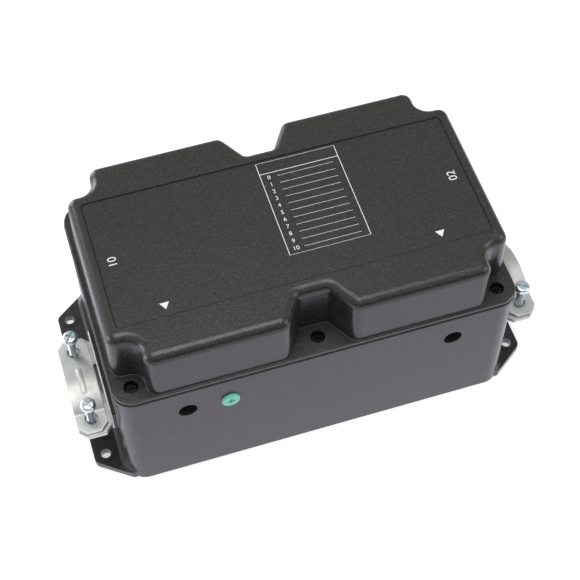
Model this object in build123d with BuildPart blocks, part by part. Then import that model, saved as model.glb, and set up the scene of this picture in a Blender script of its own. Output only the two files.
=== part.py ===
"""Hard-wired whole-house surge protector: a tub-and-cover case with cable clamps at both ends,
a two-pole contactor, current transformers, ground and neutral bars, and its electronics.

Millimetres. Origin at the middle of the underside, +X towards the load end, -Y towards the
front wall (the one with the ground-screw holes), +Z up.
"""

import math
import os

from build123d import *

# ---------------------------------------------------------------- driving dimensions
# Case outline
case_length = 263.0
case_width = 156.0
case_corner_r = 13.0
case_height = 140.0
parting_z = 99.1  # underside of the cover's flange

# Tub
rim_proud = 0.5  # how far the rim stands out past the cover's flange
rim_height = 2.2
wall_set_in = 0.5  # tub wall behind the flange outline
tub_wall = 3.5
tub_floor = 4.0
gasket_thickness = 1.2
gasket_width = 2.6
gasket_set_in = 1.2
seat_gap = 0.05  # cover to gasket, and other faces that are only laid together

# Mounting flanges at both ends of the tub
ear_length = 20.0  # past the end wall
ear_slope = 19.0  # how far the flat outer edge stops short of the case's side
ear_root_in = (2.0, 2.5)  # where the slope starts, in from the walls
ear_thickness = 5.0
ear_fillet = 3.5  # height of the slope along the foot of the end wall
ear_corner_r = 5.0
ear_hole_r = 3.3
ear_hole_in = (8.0, 4.0)  # hole in from the outer edge and from the slope's corner
ear_ring_r = 5.6
ear_ring_height = 0.5

# Cover
flange_thickness = 2.5
raised_set_in = (3.3, 1.4)  # raised walls behind the flange's edge
foot_round = 0.6
draft_angle = 1.0
cover_wall = 3.0
cover_top = 3.2
top_round = 6.2
convex_r = 7.2  # upright edges at the ends of the notches
screw_bay_r = 9.2  # upright hollow round each corner screw
mid_bay_r = 3.0
mid_half_inner = 9.1
mid_bay_slant = 31.5  # degrees off the Y axis
label_set_in = (8.2, 28.4)  # behind the raised walls' foot
label_depth = 0.6
label_corner_r = 3.0
cover_rib_pitch = 70.0
cover_rib_thickness = 2.0
cover_rib_depth = 5.0

# Cover screws
cover_screw_in = (12.3, 11.4)  # behind the flange's edge
screw_well_r = 4.7
screw_well_depth = 5.0
sleeve_r = 6.7
cover_screw_head_r = 4.1
cover_screw_head_height = 2.7
cover_screw_r = 2.0
cover_screw_length = 14.0
cover_screw_socket_r = 1.6
tub_boss_r = 6.8
boss_top_gap = 0.4
boss_web = 4.0

# Cable connectors
connector_y = -27.5
connector_z = 40.0
entry_hole_r = 21.3
nipple_r = 20.8
cable_bore_r = 17.2
throat_length = 11.2  # stretch of the nipple at the cable bore's own radius
trough_bore_r = 18.1
nipple_reach = 16.0  # from the end wall's outer face inwards
casting_round = 0.8
plate_half_width = 33.0
plate_half_height = 23.0
plate_shoulder = 6.0  # above the cable's axis, where the sides start to taper in
plate_round_r = 24.6  # rounded lower part, under the trough
plate_taper_at = 27.0  # degrees below the axis where the taper meets it
plate_thickness = 3.6
clamp_gap = 2.3  # from the plate to the strap
plate_corner_r = 3.0
locknut_r = 26.5
locknut_thickness = 5.0
locknut_slots = 8
locknut_slot_r = 3.0
strap_width = 19.5
strap_thickness = 2.3
strap_ear_top_z = 53.0
strap_half_length = 35.6
strap_fold = 20.2
strap_rise = 7.0
strap_ear_chamfer = 5.2
strap_hole_r = 4.2
strap_bead_r = 1.4
strap_bead_half_length = 9.0
lug_thickness = 3.8
lug_overhang = 1.3
lug_root = 1.0  # how far the lugs run into the plate
lug_corner = 5.6  # cut off each corner of the lugs
clamp_screw_pitch = 51.4
clamp_screw_r = 2.7
clamp_screw_head_r = 5.0
clamp_screw_head_height = 3.6
clamp_screw_head_z = 69.7
clamp_screw_length = 27.7
clamp_screw_slot = 1.2
thread_clearance = 0.05

# Ground bar, its lugs and the screws reached through the front wall
access_hole_x = 88.0
ground_z = 74.2
access_hole_r = 6.1
guide_tube_wall = 2.0
guide_tube_length = 7.1
guide_tube_gap = 0.4  # from its end to the ground bar
ground_screw_x = -60.6
ground_screw_head_r = 5.9
ground_screw_head_height = 1.9
ground_screw_r = 2.4
bar_boss_r = 6.0
bar_thickness = 3.0
bar_width = 15.0
ground_bar_half_length = 98.0
ground_lug_length = 15.0
ground_lug_depth = 16.0
ground_wire_r = 3.5
ground_wire_depth = 10.6  # bore's axis behind the bar
lug_screw_r = 3.5
lug_screw_length = 9.4
lug_screw_reach = 6.7  # its inner end behind the bar
bar_screw_head_r = 4.4

# Contactor
contactor_x = -18.0
contactor_gap = 4.0  # to the boards behind it
contactor_pad_in = 6.0
contactor_length = 78.0
contactor_width = 64.0
contactor_top_z = 62.0
pad_height = 4.0
contactor_wall = 5.0
pole_pitch = 32.0
core_length = 44.0
core_depth = 22.0
core_leg = 9.0
core_center_leg = 13.0
core_base_height = 9.0
core_height = 30.0
coil_wall = 6.2
armature_gap = 4.6
armature_thickness = 8.0
stem_length = 12.0
stem_width = 10.0
carrier_height = 5.0
carrier_plate = 3.0
carrier_z = 78.0
contact_strap_width = 12.0
contact_strap_thickness = 3.0
contact_r = 3.6
contact_height = 1.4
contact_gap = 1.4  # from a contact to the hood's wall
bridge_thickness = 2.0
bridge_width = 9.0
hood_wall = 2.5
hood_gap = 1.5  # from a box lug to the hood
hood_top_z = 86.0
return_spring_r = 3.0
return_spring_wire_r = 0.45
return_spring_turns = 5

# Box lugs on the power straps and the neutral bar
lug_length = 17.0
lug_width = 15.0
lug_height = 17.0
lug_wire_r = 4.6
lug_set_screw_r = 3.6
lug_set_screw_length = 9.0

# Current transformers and output block
transformer_x = 34.0
transformer_ring_r = 13.0
transformer_window_r = 7.4
transformer_depth = 11.0
output_block_x = 68.0
output_block_length = 32.0

# Neutral bar
neutral_from_back = 17.5  # in front of the boards' rear edge
neutral_z = 18.0
neutral_half_length = 100.0
neutral_width = 11.0
neutral_lug_x = 90.0
neutral_post_x = 48.0
neutral_post_r = 5.0
small_screw_r = 1.5
small_screw_head_r = 2.9
small_screw_head_height = 1.9
small_screw_length = 8.0

# Boards
board_z = 48.0
board_thickness = 1.6
board_depth = 35.5
board_set_in = 19.5  # behind the case's rear
control_board_x = (-70.0, 18.0)
surge_board_x = (23.0, 72.0)
board_post_r = 3.4
board_hole_inset = 4.0
varistor_size = (9.0, 20.0, 22.0)
varistor_count = 4
varistor_pitch = 11.0
core_stack = (24.0, 22.0, 17.0)  # supply transformer's laminations
core_window = 5.0
bobbin_size = (14.0, 27.0, 22.0)
bobbin_flange = 1.6
supply_from_edge = 20.0
relay_size = (15.5, 19.0, 15.5)
relay_pitch = 20.0
relay_from_edge = 47.0
capacitor_list = ((38.0, 3.5, 10.0), (46.0, 3.5, 10.0), (56.0, 5.0, 16.0))  # from edge, radius, height
chip_list = ((67.5, 11.0), (78.0, 5.0))  # from edge, width
chip_thickness = 1.6
back_row = 8.0  # from the board's rear edge
jack_size = (11.0, 14.0, 11.5)
jack_mouth = (9.6, 6.6)
jack_mouth_depth = 8.0
jack_wall = 2.0

# Factory wiring
power_lead_r = 1.5
signal_lead_r = 0.9
power_lead_bend = 4.0
signal_lead_bend = 1.8
power_lead_lift = 20.0  # how far the leads to the straps rise above the board
ground_lead_back = 3.4  # its pad behind the other leads' row of pads
sense_lead_lift = 5.0
neutral_lead_set_in = 12.0  # from the surge board's far end
board_pad_row = 2.6  # from the boards' front edge
surge_lead_spread = 2.6  # each side of the middle of the gap
coil_lead_x = (-36.0, -33.2)
coil_entry_height = 26.0  # above the tub's floor
sense_lead_offset = (-2.5, 2.5)  # from the middle of each current transformer
sense_pad_x = (6.2, 9.2)

# ---------------------------------------------------------------- sizes that follow
flange_top_z = parting_z + flange_thickness
tub_top_z = parting_z - gasket_thickness
tub_length = case_length - 2 * wall_set_in
tub_width = case_width - 2 * wall_set_in
tub_corner_r = case_corner_r - wall_set_in
wall_x = tub_length / 2
wall_y = tub_width / 2
inner_x = wall_x - tub_wall
inner_y = wall_y - tub_wall
ear_start_x = wall_x - tub_corner_r
ear_reach = wall_x + ear_length
ear_half_flat = case_width / 2 - ear_slope
ear_root_x = wall_x - ear_root_in[0]
ear_root_y = wall_y - ear_root_in[1]
ear_hole_x = ear_reach - ear_hole_in[0]
ear_hole_y = ear_half_flat - ear_hole_in[1]
raised_half_length = case_length / 2 - raised_set_in[0]
raised_half_width = case_width / 2 - raised_set_in[1]
label_half_length = raised_half_length - label_set_in[0]
label_half_width = raised_half_width - label_set_in[1]
cover_screw_x = case_length / 2 - cover_screw_in[0]
cover_screw_y = case_width / 2 - cover_screw_in[1]
nipple_end_x = wall_x - nipple_reach
guide_tube_end_y = -wall_y + guide_tube_length
bar_face_y = guide_tube_end_y + guide_tube_gap
ground_wire_y = bar_face_y + bar_thickness + ground_wire_depth
lug_screw_end_y = bar_face_y + bar_thickness + lug_screw_reach
board_back_y = case_width / 2 - board_set_in
board_front_y = board_back_y - board_depth
contactor_y = board_front_y - contactor_gap - contactor_width / 2
neutral_y = board_back_y - neutral_from_back
hood_length = contactor_length - 2 * (lug_length + hood_gap)
contact_reach = hood_length / 2 - hood_wall - contact_gap - contact_r
raised_height = case_height - flange_top_z
well_floor_z = flange_top_z - screw_well_depth
sleeve_end_z = well_floor_z - 2.5
tub_boss_top_z = sleeve_end_z - boss_top_gap
plate_face_x = wall_x + plate_thickness
clamp_x = plate_face_x + clamp_gap + strap_width / 2
lug_top_z = strap_ear_top_z - strap_thickness - seat_gap
arch_radius = (strap_fold**2 + strap_rise**2) / (2 * strap_rise)
cover_screw_places = [(x, y) for x in (-cover_screw_x, 0, cover_screw_x) for y in (-cover_screw_y, cover_screw_y)]
pole_y = [contactor_y - pole_pitch / 2, contactor_y + pole_pitch / 2]
contactor_x0 = contactor_x - contactor_length / 2
contactor_x1 = contactor_x + contactor_length / 2
output_x1 = output_block_x + output_block_length / 2
strap_top_z = contactor_top_z + contact_strap_thickness
base_z = tub_floor + pad_height
UP = (Align.CENTER, Align.CENTER, Align.MIN)
DOWN = (Align.CENTER, Align.CENTER, Align.MAX)

os.makedirs("parts", exist_ok=True)


def save(builder, name):
    """Label a finished sub-part and write it as parts/NAME.step."""
    builder.part.label = name
    export_step(builder.part, f"parts/{name}.step")


def is_bay(vertex, x, y):
    """True at the inner corner of a corner notch."""
    return abs(abs(vertex.X) - x) < 0.01 and abs(abs(vertex.Y) - y) < 0.01


def is_end(vertex, half_l, half_w):
    """True where a notch breaks out of the long or the short walls."""
    return abs(abs(vertex.X) - half_l) < 0.01 or abs(abs(vertex.Y) - half_w) < 0.01


def raised_outline(z, inset):
    """Plan of the cover's raised body at height z, every wall drawn in by `inset`."""
    half_l = raised_half_length - inset
    half_w = raised_half_width - inset
    corner_x = cover_screw_x - screw_bay_r - inset
    corner_y = cover_screw_y - screw_bay_r - inset
    slant = math.radians(mid_bay_slant)
    inner = mid_half_inner + inset * (1 / math.cos(slant) - math.tan(slant))
    outer = inner + (half_w - corner_y) * math.tan(slant)
    with BuildSketch(Plane.XY.offset(z)) as outline:
        Rectangle(2 * half_l, 2 * half_w)
        with Locations(*[(x * half_l, y * half_w) for x in (-1, 1) for y in (-1, 1)]):
            Rectangle(2 * (half_l - corner_x), 2 * (half_w - corner_y), mode=Mode.SUBTRACT)
        for side in (-1, 1):
            with BuildLine():
                Polyline(
                    (-outer, side * half_w),
                    (-inner, side * corner_y),
                    (inner, side * corner_y),
                    (outer, side * half_w),
                    close=True,
                )
            make_face(mode=Mode.SUBTRACT)
        for is_kind, radius in (
            (lambda v: is_bay(v, corner_x, corner_y), screw_bay_r + inset),
            (lambda v: abs(v.X) < inner + 0.01 and abs(abs(v.Y) - corner_y) < 0.01, mid_bay_r + inset),
            (lambda v: is_end(v, half_l, half_w), max(convex_r - inset, 0.8)),
        ):
            fillet(outline.vertices().filter_by(is_kind), radius)
    return outline.sketch


# ---------------------------------------------------------------- tub
# mounting flanges, one at each end, run the full width of the wall
with BuildSketch() as ear:
    with BuildLine():
        Polyline(
            (ear_start_x, -ear_root_y),
            (ear_root_x, -ear_root_y),
            (ear_reach, -ear_half_flat),
            (ear_reach, ear_half_flat),
            (ear_root_x, ear_root_y),
            (ear_start_x, ear_root_y),
            close=True,
        )
    make_face()
    fillet(ear.vertices().filter_by(lambda v: v.X > ear_reach - 1), ear_corner_r)
    mirror(about=Plane.YZ)

# a hollow slope, in two steps, between the flanges and the end walls
with BuildPart() as slope:
    for low, high, reach, next_reach in ((0.0, 0.3, 1.0, 0.4), (0.3, 1.0, 0.4, 0.0)):
        with BuildSketch(Plane.XY.offset(ear_thickness + low * ear_fillet)):
            grown = 2 * reach * ear_fillet
            RectangleRounded(tub_length + grown, tub_width + grown, tub_corner_r + grown / 2)
        steepness = math.degrees(math.atan((reach - next_reach) / (high - low)))
        extrude(amount=(high - low) * ear_fillet, taper=steepness)
    extrude(ear.sketch, amount=ear_thickness + ear_fillet, mode=Mode.INTERSECT)

with BuildPart() as tub:
    with BuildSketch():
        RectangleRounded(tub_length, tub_width, tub_corner_r)
    extrude(amount=tub_top_z)
    with BuildSketch(Plane.XY.offset(tub_top_z - rim_height)):
        RectangleRounded(case_length + 2 * rim_proud, case_width + 2 * rim_proud, case_corner_r + rim_proud)
    extrude(amount=rim_height)
    fillet(tub.faces().sort_by(Axis.Z)[-1].outer_wire().edges(), 0.7)

    # mounting flanges
    extrude(ear.sketch, amount=ear_thickness)
    add(slope.part)
    with Locations(*[(x, y, ear_thickness) for x in (-ear_hole_x, ear_hole_x) for y in (-ear_hole_y, ear_hole_y)]):
        Cylinder(ear_ring_r, ear_ring_height, align=UP)

    # the hollow
    with BuildSketch(Plane.XY.offset(tub_floor)):
        RectangleRounded(2 * inner_x, 2 * inner_y, tub_corner_r - tub_wall)
    extrude(amount=tub_top_z, mode=Mode.SUBTRACT)

    # holes for the ground-lug screws, the ground screw, the cables and the mounting flanges
    with Locations(*[Location((x, -wall_y - 1, ground_z), (-90, 0, 0)) for x in (-access_hole_x, access_hole_x)]):
        Cylinder(access_hole_r, guide_tube_length + 2, align=UP, mode=Mode.SUBTRACT)
    with Locations(Location((ground_screw_x, -wall_y - 1, ground_z), (-90, 0, 0))):
        Cylinder(ground_screw_r + thread_clearance, guide_tube_length + 2, align=UP, mode=Mode.SUBTRACT)
    with Locations(*[Location((x, connector_y, connector_z), (0, 90, 0)) for x in (-wall_x, wall_x)]):
        Cylinder(entry_hole_r, 4 * tub_wall, mode=Mode.SUBTRACT)
    with Locations(*[(x, y) for x in (-ear_hole_x, ear_hole_x) for y in (-ear_hole_y, ear_hole_y)]):
        Cylinder(ear_hole_r, 20, mode=Mode.SUBTRACT)
save(tub, "base_tub")

# ---------------------------------------------------------------- pillars, bosses and posts inside the tub
with BuildPart() as pillars:
    # one under each cover screw, ribbed to the walls
    for x, y in cover_screw_places:
        foot_z = tub_floor if x else ground_z + bar_width / 2 + 0.7
        y_reach = inner_y + 1 - abs(y)
        x_reach = inner_x + 1 - abs(x) if x else 0
        with BuildSketch(Plane.XY.offset(foot_z)):
            with Locations((x, y)):
                Circle(tub_boss_r)
            with Locations((x, math.copysign(abs(y) + y_reach / 2, y))):
                Rectangle(boss_web if x else 2 * tub_boss_r, y_reach)
            if x:
                with Locations((math.copysign(abs(x) + x_reach / 2, x), y)):
                    Rectangle(x_reach, boss_web)
        extrude(amount=tub_boss_top_z - foot_z)
    with BuildSketch(Plane.XY.offset(tub_floor)):
        RectangleRounded(2 * inner_x, 2 * inner_y, tub_corner_r - tub_wall)
    extrude(amount=tub_top_z, mode=Mode.INTERSECT)
    with Locations(*[(x, y, tub_boss_top_z) for x, y in cover_screw_places]):
        Cylinder(cover_screw_r + thread_clearance, cover_screw_length + 2, align=DOWN, mode=Mode.SUBTRACT)
save(pillars, "cover_pillars")

with BuildPart() as bosses:
    # guide tubes for the ground-lug screws, and bosses behind the ground bar
    with Locations(*[Location((x, -inner_y, ground_z), (-90, 0, 0)) for x in (-access_hole_x, access_hole_x)]):
        Cylinder(access_hole_r + guide_tube_wall, guide_tube_length - tub_wall, align=UP)
    with Locations(*[Location((x, -inner_y, ground_z), (-90, 0, 0)) for x in (ground_screw_x, -ground_screw_x)]):
        Cylinder(bar_boss_r, bar_face_y + inner_y, align=UP)
    with Locations(*[Location((x, -wall_y - 1, ground_z), (-90, 0, 0)) for x in (-access_hole_x, access_hole_x)]):
        Cylinder(access_hole_r, guide_tube_length + 2, align=UP, mode=Mode.SUBTRACT)
    with Locations(Location((ground_screw_x, -wall_y - 1, ground_z), (-90, 0, 0))):
        Cylinder(ground_screw_r + thread_clearance, guide_tube_length + 2, align=UP, mode=Mode.SUBTRACT)
    with Locations(Location((-ground_screw_x, bar_face_y + 1, ground_z), (90, 0, 0))):
        Cylinder(small_screw_r + thread_clearance, 5.5, align=UP, mode=Mode.SUBTRACT)
save(bosses, "ground_bosses")

with BuildPart() as posts:
    # pads under the contactor, posts under the boards and the neutral bar
    pad_x = contactor_length / 2 - contactor_pad_in
    pad_y = contactor_width / 2 - contactor_pad_in
    with Locations((contactor_x, contactor_y, tub_floor)):
        with GridLocations(2 * pad_x, 2 * pad_y, 2, 2):
            Cylinder(5.0, pad_height, align=UP)
            Cylinder(small_screw_r + thread_clearance, pad_height, align=UP, mode=Mode.SUBTRACT)
    board_posts = []
    for x0, x1 in (control_board_x, surge_board_x):
        board_posts += [
            (x, y) for x in (x0 + board_hole_inset, x1 - board_hole_inset)
            for y in (board_front_y + board_hole_inset, board_back_y - board_hole_inset)
        ]
    with Locations(*[(x, y, tub_floor) for x, y in board_posts]):
        Cylinder(board_post_r, board_z - tub_floor, align=UP)
    with Locations(*[(x, y, board_z) for x, y in board_posts]):
        Cylinder(small_screw_r + thread_clearance, small_screw_length, align=DOWN, mode=Mode.SUBTRACT)
    with Locations(*[(x, neutral_y, tub_floor) for x in (-neutral_post_x, neutral_post_x)]):
        Cylinder(neutral_post_r, neutral_z - tub_floor, align=UP)
    with Locations(*[(x, neutral_y, neutral_z) for x in (-neutral_post_x, neutral_post_x)]):
        Cylinder(small_screw_r + thread_clearance, small_screw_length, align=DOWN, mode=Mode.SUBTRACT)
save(posts, "mounting_posts")

# ---------------------------------------------------------------- gasket
with BuildPart() as gasket:
    half_l = case_length / 2 - gasket_set_in
    half_w = case_width / 2 - gasket_set_in
    outer_r = case_corner_r - gasket_set_in
    with BuildSketch(Plane.XY.offset(tub_top_z)):
        RectangleRounded(2 * half_l, 2 * half_w, outer_r)
        RectangleRounded(
            2 * (half_l - gasket_width), 2 * (half_w - gasket_width), outer_r - gasket_width, mode=Mode.SUBTRACT
        )
    extrude(amount=gasket_thickness - seat_gap)
save(gasket, "cover_gasket")

# ---------------------------------------------------------------- cover
with BuildPart() as cover:
    foot = raised_outline(flange_top_z, 0.0)
    extrude(foot, amount=raised_height, taper=draft_angle)
    fillet(cover.faces().sort_by(Axis.Z)[-1].edges(), top_round)
    with BuildSketch(Plane.XY.offset(parting_z)):
        RectangleRounded(case_length, case_width, case_corner_r)
    extrude(amount=flange_thickness)
    step = cover.edges().filter_by(lambda e: abs(e.bounding_box().min.Z - flange_top_z) < 0.01
                                   and abs(e.bounding_box().max.Z - flange_top_z) < 0.01)
    rim = step.filter_by(lambda e: max(abs(e.center().X) - case_length / 2, abs(e.center().Y) - case_width / 2) > -0.5
                         or (e.geom_type == GeomType.CIRCLE and abs(e.radius - case_corner_r) < 0.01))
    fillet(rim, 0.7)
    foot_edges = cover.edges().filter_by(lambda e: abs(e.bounding_box().min.Z - flange_top_z) < 0.01
                                         and abs(e.bounding_box().max.Z - flange_top_z) < 0.01
                                         and abs(e.center().X) < raised_half_length + 0.01
                                         and abs(e.center().Y) < raised_half_width + 0.01)
    fillet(foot_edges, foot_round)
    with Locations(*[(x, y, parting_z) for x, y in cover_screw_places]):
        Cylinder(sleeve_r, parting_z - sleeve_end_z, align=DOWN)
    inside = raised_outline(parting_z, cover_wall)
    extrude(inside, amount=case_height - cover_top - parting_z, taper=draft_angle, mode=Mode.SUBTRACT)
    # stiffening ribs under the top, between the middle bays and across the ends
    rib_y = cover_screw_y - screw_bay_r - cover_wall - 1.0
    with BuildSketch(Plane.XY.offset(case_height - cover_top - cover_rib_depth)):
        with GridLocations(cover_rib_pitch, 0, 3, 1):
            Rectangle(cover_rib_thickness, 2 * rib_y)
    extrude(amount=cover_rib_depth + 0.5)
    with BuildSketch(Plane.XY.offset(case_height - label_depth)):
        RectangleRounded(2 * label_half_length, 2 * label_half_width, label_corner_r)
    extrude(amount=label_depth + 1, mode=Mode.SUBTRACT)
    with Locations(*[(x, y, flange_top_z) for x, y in cover_screw_places]):
        Cylinder(screw_well_r, screw_well_depth, align=DOWN, mode=Mode.SUBTRACT)
        Cylinder(cover_screw_r + 0.1, 4 * screw_well_depth, align=DOWN, mode=Mode.SUBTRACT)
save(cover, "cover")

with BuildPart() as cover_screws:
    with Locations(*[(x, y, well_floor_z) for x, y in cover_screw_places]):
        Cylinder(cover_screw_head_r, cover_screw_head_height, align=UP)
    fillet(cover_screws.faces().group_by(Axis.Z)[-1].edges(), 0.9)
    with Locations(*[(x, y, well_floor_z) for x, y in cover_screw_places]):
        Cylinder(cover_screw_r, cover_screw_length, align=DOWN)
    with Locations(*[(x, y, well_floor_z + cover_screw_head_height) for x, y in cover_screw_places]):
        Box(2 * cover_screw_socket_r + 1.2, 1.0, 3.2, mode=Mode.SUBTRACT)
        Box(1.0, 2 * cover_screw_socket_r + 1.2, 3.2, mode=Mode.SUBTRACT)
save(cover_screws, "cover_screws")


# ---------------------------------------------------------------- cable connectors
def connector_body(side):
    """Zinc two-screw cable connector: nipple, wall plate, trough and two screw lugs."""
    x_axis = Plane(origin=(0, connector_y, connector_z), x_dir=(0, 1, 0), z_dir=(1, 0, 0))
    trough_length = clamp_x + strap_width / 2 - plate_face_x
    with BuildPart() as plate:
        with BuildSketch(x_axis.offset(wall_x)) as outline:
            foot_x, foot_y = (plate_round_r * f(math.radians(plate_taper_at)) for f in (math.cos, math.sin))
            with BuildLine():
                Polyline(
                    (foot_x, -foot_y),
                    (plate_half_width, plate_shoulder),
                    (plate_half_width, plate_half_height),
                    (-plate_half_width, plate_half_height),
                    (-plate_half_width, plate_shoulder),
                    (-foot_x, -foot_y),
                )
                ThreePointArc((-foot_x, -foot_y), (0, -plate_round_r), (foot_x, -foot_y))
            make_face()
            fillet(outline.vertices().sort_by(Axis.Z)[-2:], plate_corner_r)
        extrude(amount=plate_thickness)
        fillet(plate.faces().sort_by(Axis.X)[-1].edges(), casting_round)
    lug_half = strap_half_length + lug_overhang
    with BuildPart() as lug_pair:
        with BuildSketch(Plane.XY.offset(lug_top_z - lug_thickness)) as lugs:
            with Locations((plate_face_x + trough_length / 2 - lug_root / 2, connector_y)):
                Rectangle(trough_length + lug_root, 2 * lug_half)
            chamfer(lugs.vertices(), lug_corner)
        extrude(amount=lug_thickness)
        rounded = lug_pair.faces().filter_by(Axis.Z).edges().filter_by(lambda e: e.center().X > plate_face_x)
        fillet(rounded, casting_round)
    with BuildPart() as body:
        with BuildSketch(x_axis.offset(nipple_end_x)):
            Circle(nipple_r)
        extrude(amount=wall_x - nipple_end_x)
        add(plate.part)
        with BuildSketch(x_axis.offset(plate_face_x)):
            Circle(nipple_r)
            with Locations((0, lug_top_z - connector_z)):
                Rectangle(3 * nipple_r, 2 * nipple_r, align=(Align.CENTER, Align.MIN), mode=Mode.SUBTRACT)
        extrude(amount=trough_length)
        add(lug_pair.part)
        with BuildSketch(x_axis.offset(nipple_end_x)):
            Circle(cable_bore_r)
        extrude(amount=throat_length, mode=Mode.SUBTRACT)
        with BuildSketch(x_axis.offset(nipple_end_x + throat_length)):
            Circle(trough_bore_r)
        extrude(amount=4 * trough_bore_r, mode=Mode.SUBTRACT)
        bore_mouth = body.faces().filter_by(Axis.X).sort_by(Axis.X)[0].inner_wires()
        chamfer([edge for wire in bore_mouth for edge in wire.edges()], 1.2)
        with Locations(*[(clamp_x, connector_y + s * clamp_screw_pitch / 2) for s in (-1, 1)]):
            Cylinder(clamp_screw_r + thread_clearance, 300, mode=Mode.SUBTRACT)
    if side > 0:
        return body.part
    return mirror(body.part, about=Plane.YZ, mode=Mode.PRIVATE)


def clamp_strap(side):
    """Pressed strap: two eight-sided ears and an arch with a stiffening bead along its crown."""
    under = lug_top_z + seat_gap
    x0 = clamp_x - strap_width / 2
    profile = Plane(origin=(x0, connector_y, under), x_dir=(0, 1, 0), z_dir=(1, 0, 0))
    with BuildPart() as strap:
        with BuildSketch(profile):
            with BuildLine():
                Polyline((-strap_half_length, 0), (-strap_fold, 0))
                ThreePointArc((-strap_fold, 0), (0, strap_rise), (strap_fold, 0))
                Polyline((strap_fold, 0), (strap_half_length, 0), (strap_half_length, strap_thickness))
                upper_fold = strap_fold + strap_thickness * math.tan(math.radians(20))
                Polyline((strap_half_length, strap_thickness), (upper_fold, strap_thickness))
                ThreePointArc(
                    (upper_fold, strap_thickness),
                    (0, strap_rise + strap_thickness),
                    (-upper_fold, strap_thickness),
                )
                Polyline(
                    (-upper_fold, strap_thickness), (-strap_half_length, strap_thickness), (-strap_half_length, 0)
                )
            make_face()
        extrude(amount=strap_width)
        corners = strap.edges().filter_by(Axis.Z).filter_by(
            lambda e: abs(abs(e.center().Y - connector_y) - strap_half_length) < 0.01
        )
        chamfer(corners, strap_ear_chamfer)
        with Locations(*[(clamp_x, connector_y + s * clamp_screw_pitch / 2) for s in (-1, 1)]):
            Cylinder(strap_hole_r, 300, mode=Mode.SUBTRACT)
        bead_z = under + strap_rise + strap_thickness
        with BuildSketch(Plane(origin=(clamp_x, connector_y, bead_z - 0.6))):
            SlotOverall(2 * strap_bead_half_length, 2 * strap_bead_r, rotation=90)
        extrude(amount=1.4)
    if side > 0:
        return strap.part
    return mirror(strap.part, about=Plane.YZ, mode=Mode.PRIVATE)


def clamp_screw(x, y):
    """Slotted pan-head machine screw that draws the strap down onto the cable."""
    with BuildPart() as screw:
        with Locations((x, y, clamp_screw_head_z)):
            Cylinder(clamp_screw_head_r, clamp_screw_head_height, align=UP)
        fillet(screw.faces().sort_by(Axis.Z)[-1].edges(), 1.7)
        with Locations((x, y, clamp_screw_head_z)):
            Cylinder(clamp_screw_r, clamp_screw_length, align=DOWN)
        chamfer(screw.faces().sort_by(Axis.Z)[0].edges(), 0.8)
        with Locations((x, y, clamp_screw_head_z + clamp_screw_head_height)):
            Box(clamp_screw_slot, 2 * clamp_screw_head_r + 1, 2.4, mode=Mode.SUBTRACT)
            Box(5.0, clamp_screw_slot, 2.8, mode=Mode.SUBTRACT)
    return screw.part


def locknut(side):
    """Slotted ring nut that pulls the connector's plate against the end wall."""
    with BuildPart() as nut:
        with BuildSketch(Plane(origin=(inner_x, connector_y, connector_z), x_dir=(0, 1, 0), z_dir=(-1, 0, 0))):
            Circle(locknut_r)
            with PolarLocations(locknut_r + locknut_slot_r * 0.3, locknut_slots):
                Circle(locknut_slot_r, mode=Mode.SUBTRACT)
            Circle(nipple_r + thread_clearance, mode=Mode.SUBTRACT)
        extrude(amount=locknut_thickness)
    if side > 0:
        return nut.part
    return mirror(nut.part, about=Plane.YZ, mode=Mode.PRIVATE)


for side, end in ((-1, "left"), (1, "right")):
    for make, name in (
        (connector_body, "connector_body"),
        (locknut, "locknut"),
        (clamp_strap, "clamp_strap"),
    ):
        piece = make(side)
        piece.label = f"{end}_{name}"
        export_step(piece, f"parts/{end}_{name}.step")
    for sign, place in ((-1, "front"), (1, "rear")):
        piece = clamp_screw(side * clamp_x, connector_y + sign * clamp_screw_pitch / 2)
        piece.label = f"{end}_{place}_clamp_screw"
        export_step(piece, f"parts/{end}_{place}_clamp_screw.step")

# ---------------------------------------------------------------- ground bar, lugs and screws
front = Plane(origin=(0, bar_face_y, ground_z), x_dir=(1, 0, 0), z_dir=(0, -1, 0))
with BuildPart() as ground_bar:
    with BuildSketch(front.offset(-bar_thickness)):
        RectangleRounded(2 * ground_bar_half_length, bar_width, 2.0)
        with Locations((-access_hole_x, 0), (access_hole_x, 0)):
            Circle(lug_screw_r + 0.6, mode=Mode.SUBTRACT)
        with Locations((ground_screw_x, 0)):
            Circle(ground_screw_r + thread_clearance, mode=Mode.SUBTRACT)
        with Locations((-ground_screw_x, 0)):
            Circle(small_screw_r + thread_clearance, mode=Mode.SUBTRACT)
    extrude(amount=bar_thickness)
save(ground_bar, "ground_bar")


def ground_lug(x):
    """Aluminium block on the back of the ground bar, bored along X for the wire."""
    face_y = bar_face_y + bar_thickness
    with BuildPart() as lug:
        with Locations((x, face_y + ground_lug_depth / 2, ground_z)):
            Box(ground_lug_length, ground_lug_depth, bar_width)
        chamfer(lug.edges().filter_by(Axis.X).sort_by(Axis.Y)[-2:], 1.5)
        with Locations(Location((x, ground_wire_y, ground_z), (0, 90, 0))):
            Cylinder(ground_wire_r, 2 * ground_lug_length, mode=Mode.SUBTRACT)
        with Locations(Location((x, face_y, ground_z), (-90, 0, 0))):
            Cylinder(lug_screw_r + thread_clearance, ground_wire_y - face_y, align=UP, mode=Mode.SUBTRACT)
    return lug


def ground_lug_screw(x):
    """Headless set screw, reached with a driver through the front wall."""
    with BuildPart() as screw:
        with Locations(Location((x, lug_screw_end_y, ground_z), (90, 0, 0))):
            Cylinder(lug_screw_r, lug_screw_length, align=UP)
        chamfer(screw.faces().sort_by(Axis.Y)[-1].edges(), 0.8)
        with Locations((x, lug_screw_end_y - lug_screw_length, ground_z)):
            Box(2 * lug_screw_r + 1, 3.0, 1.2, mode=Mode.SUBTRACT)
    return screw


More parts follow.
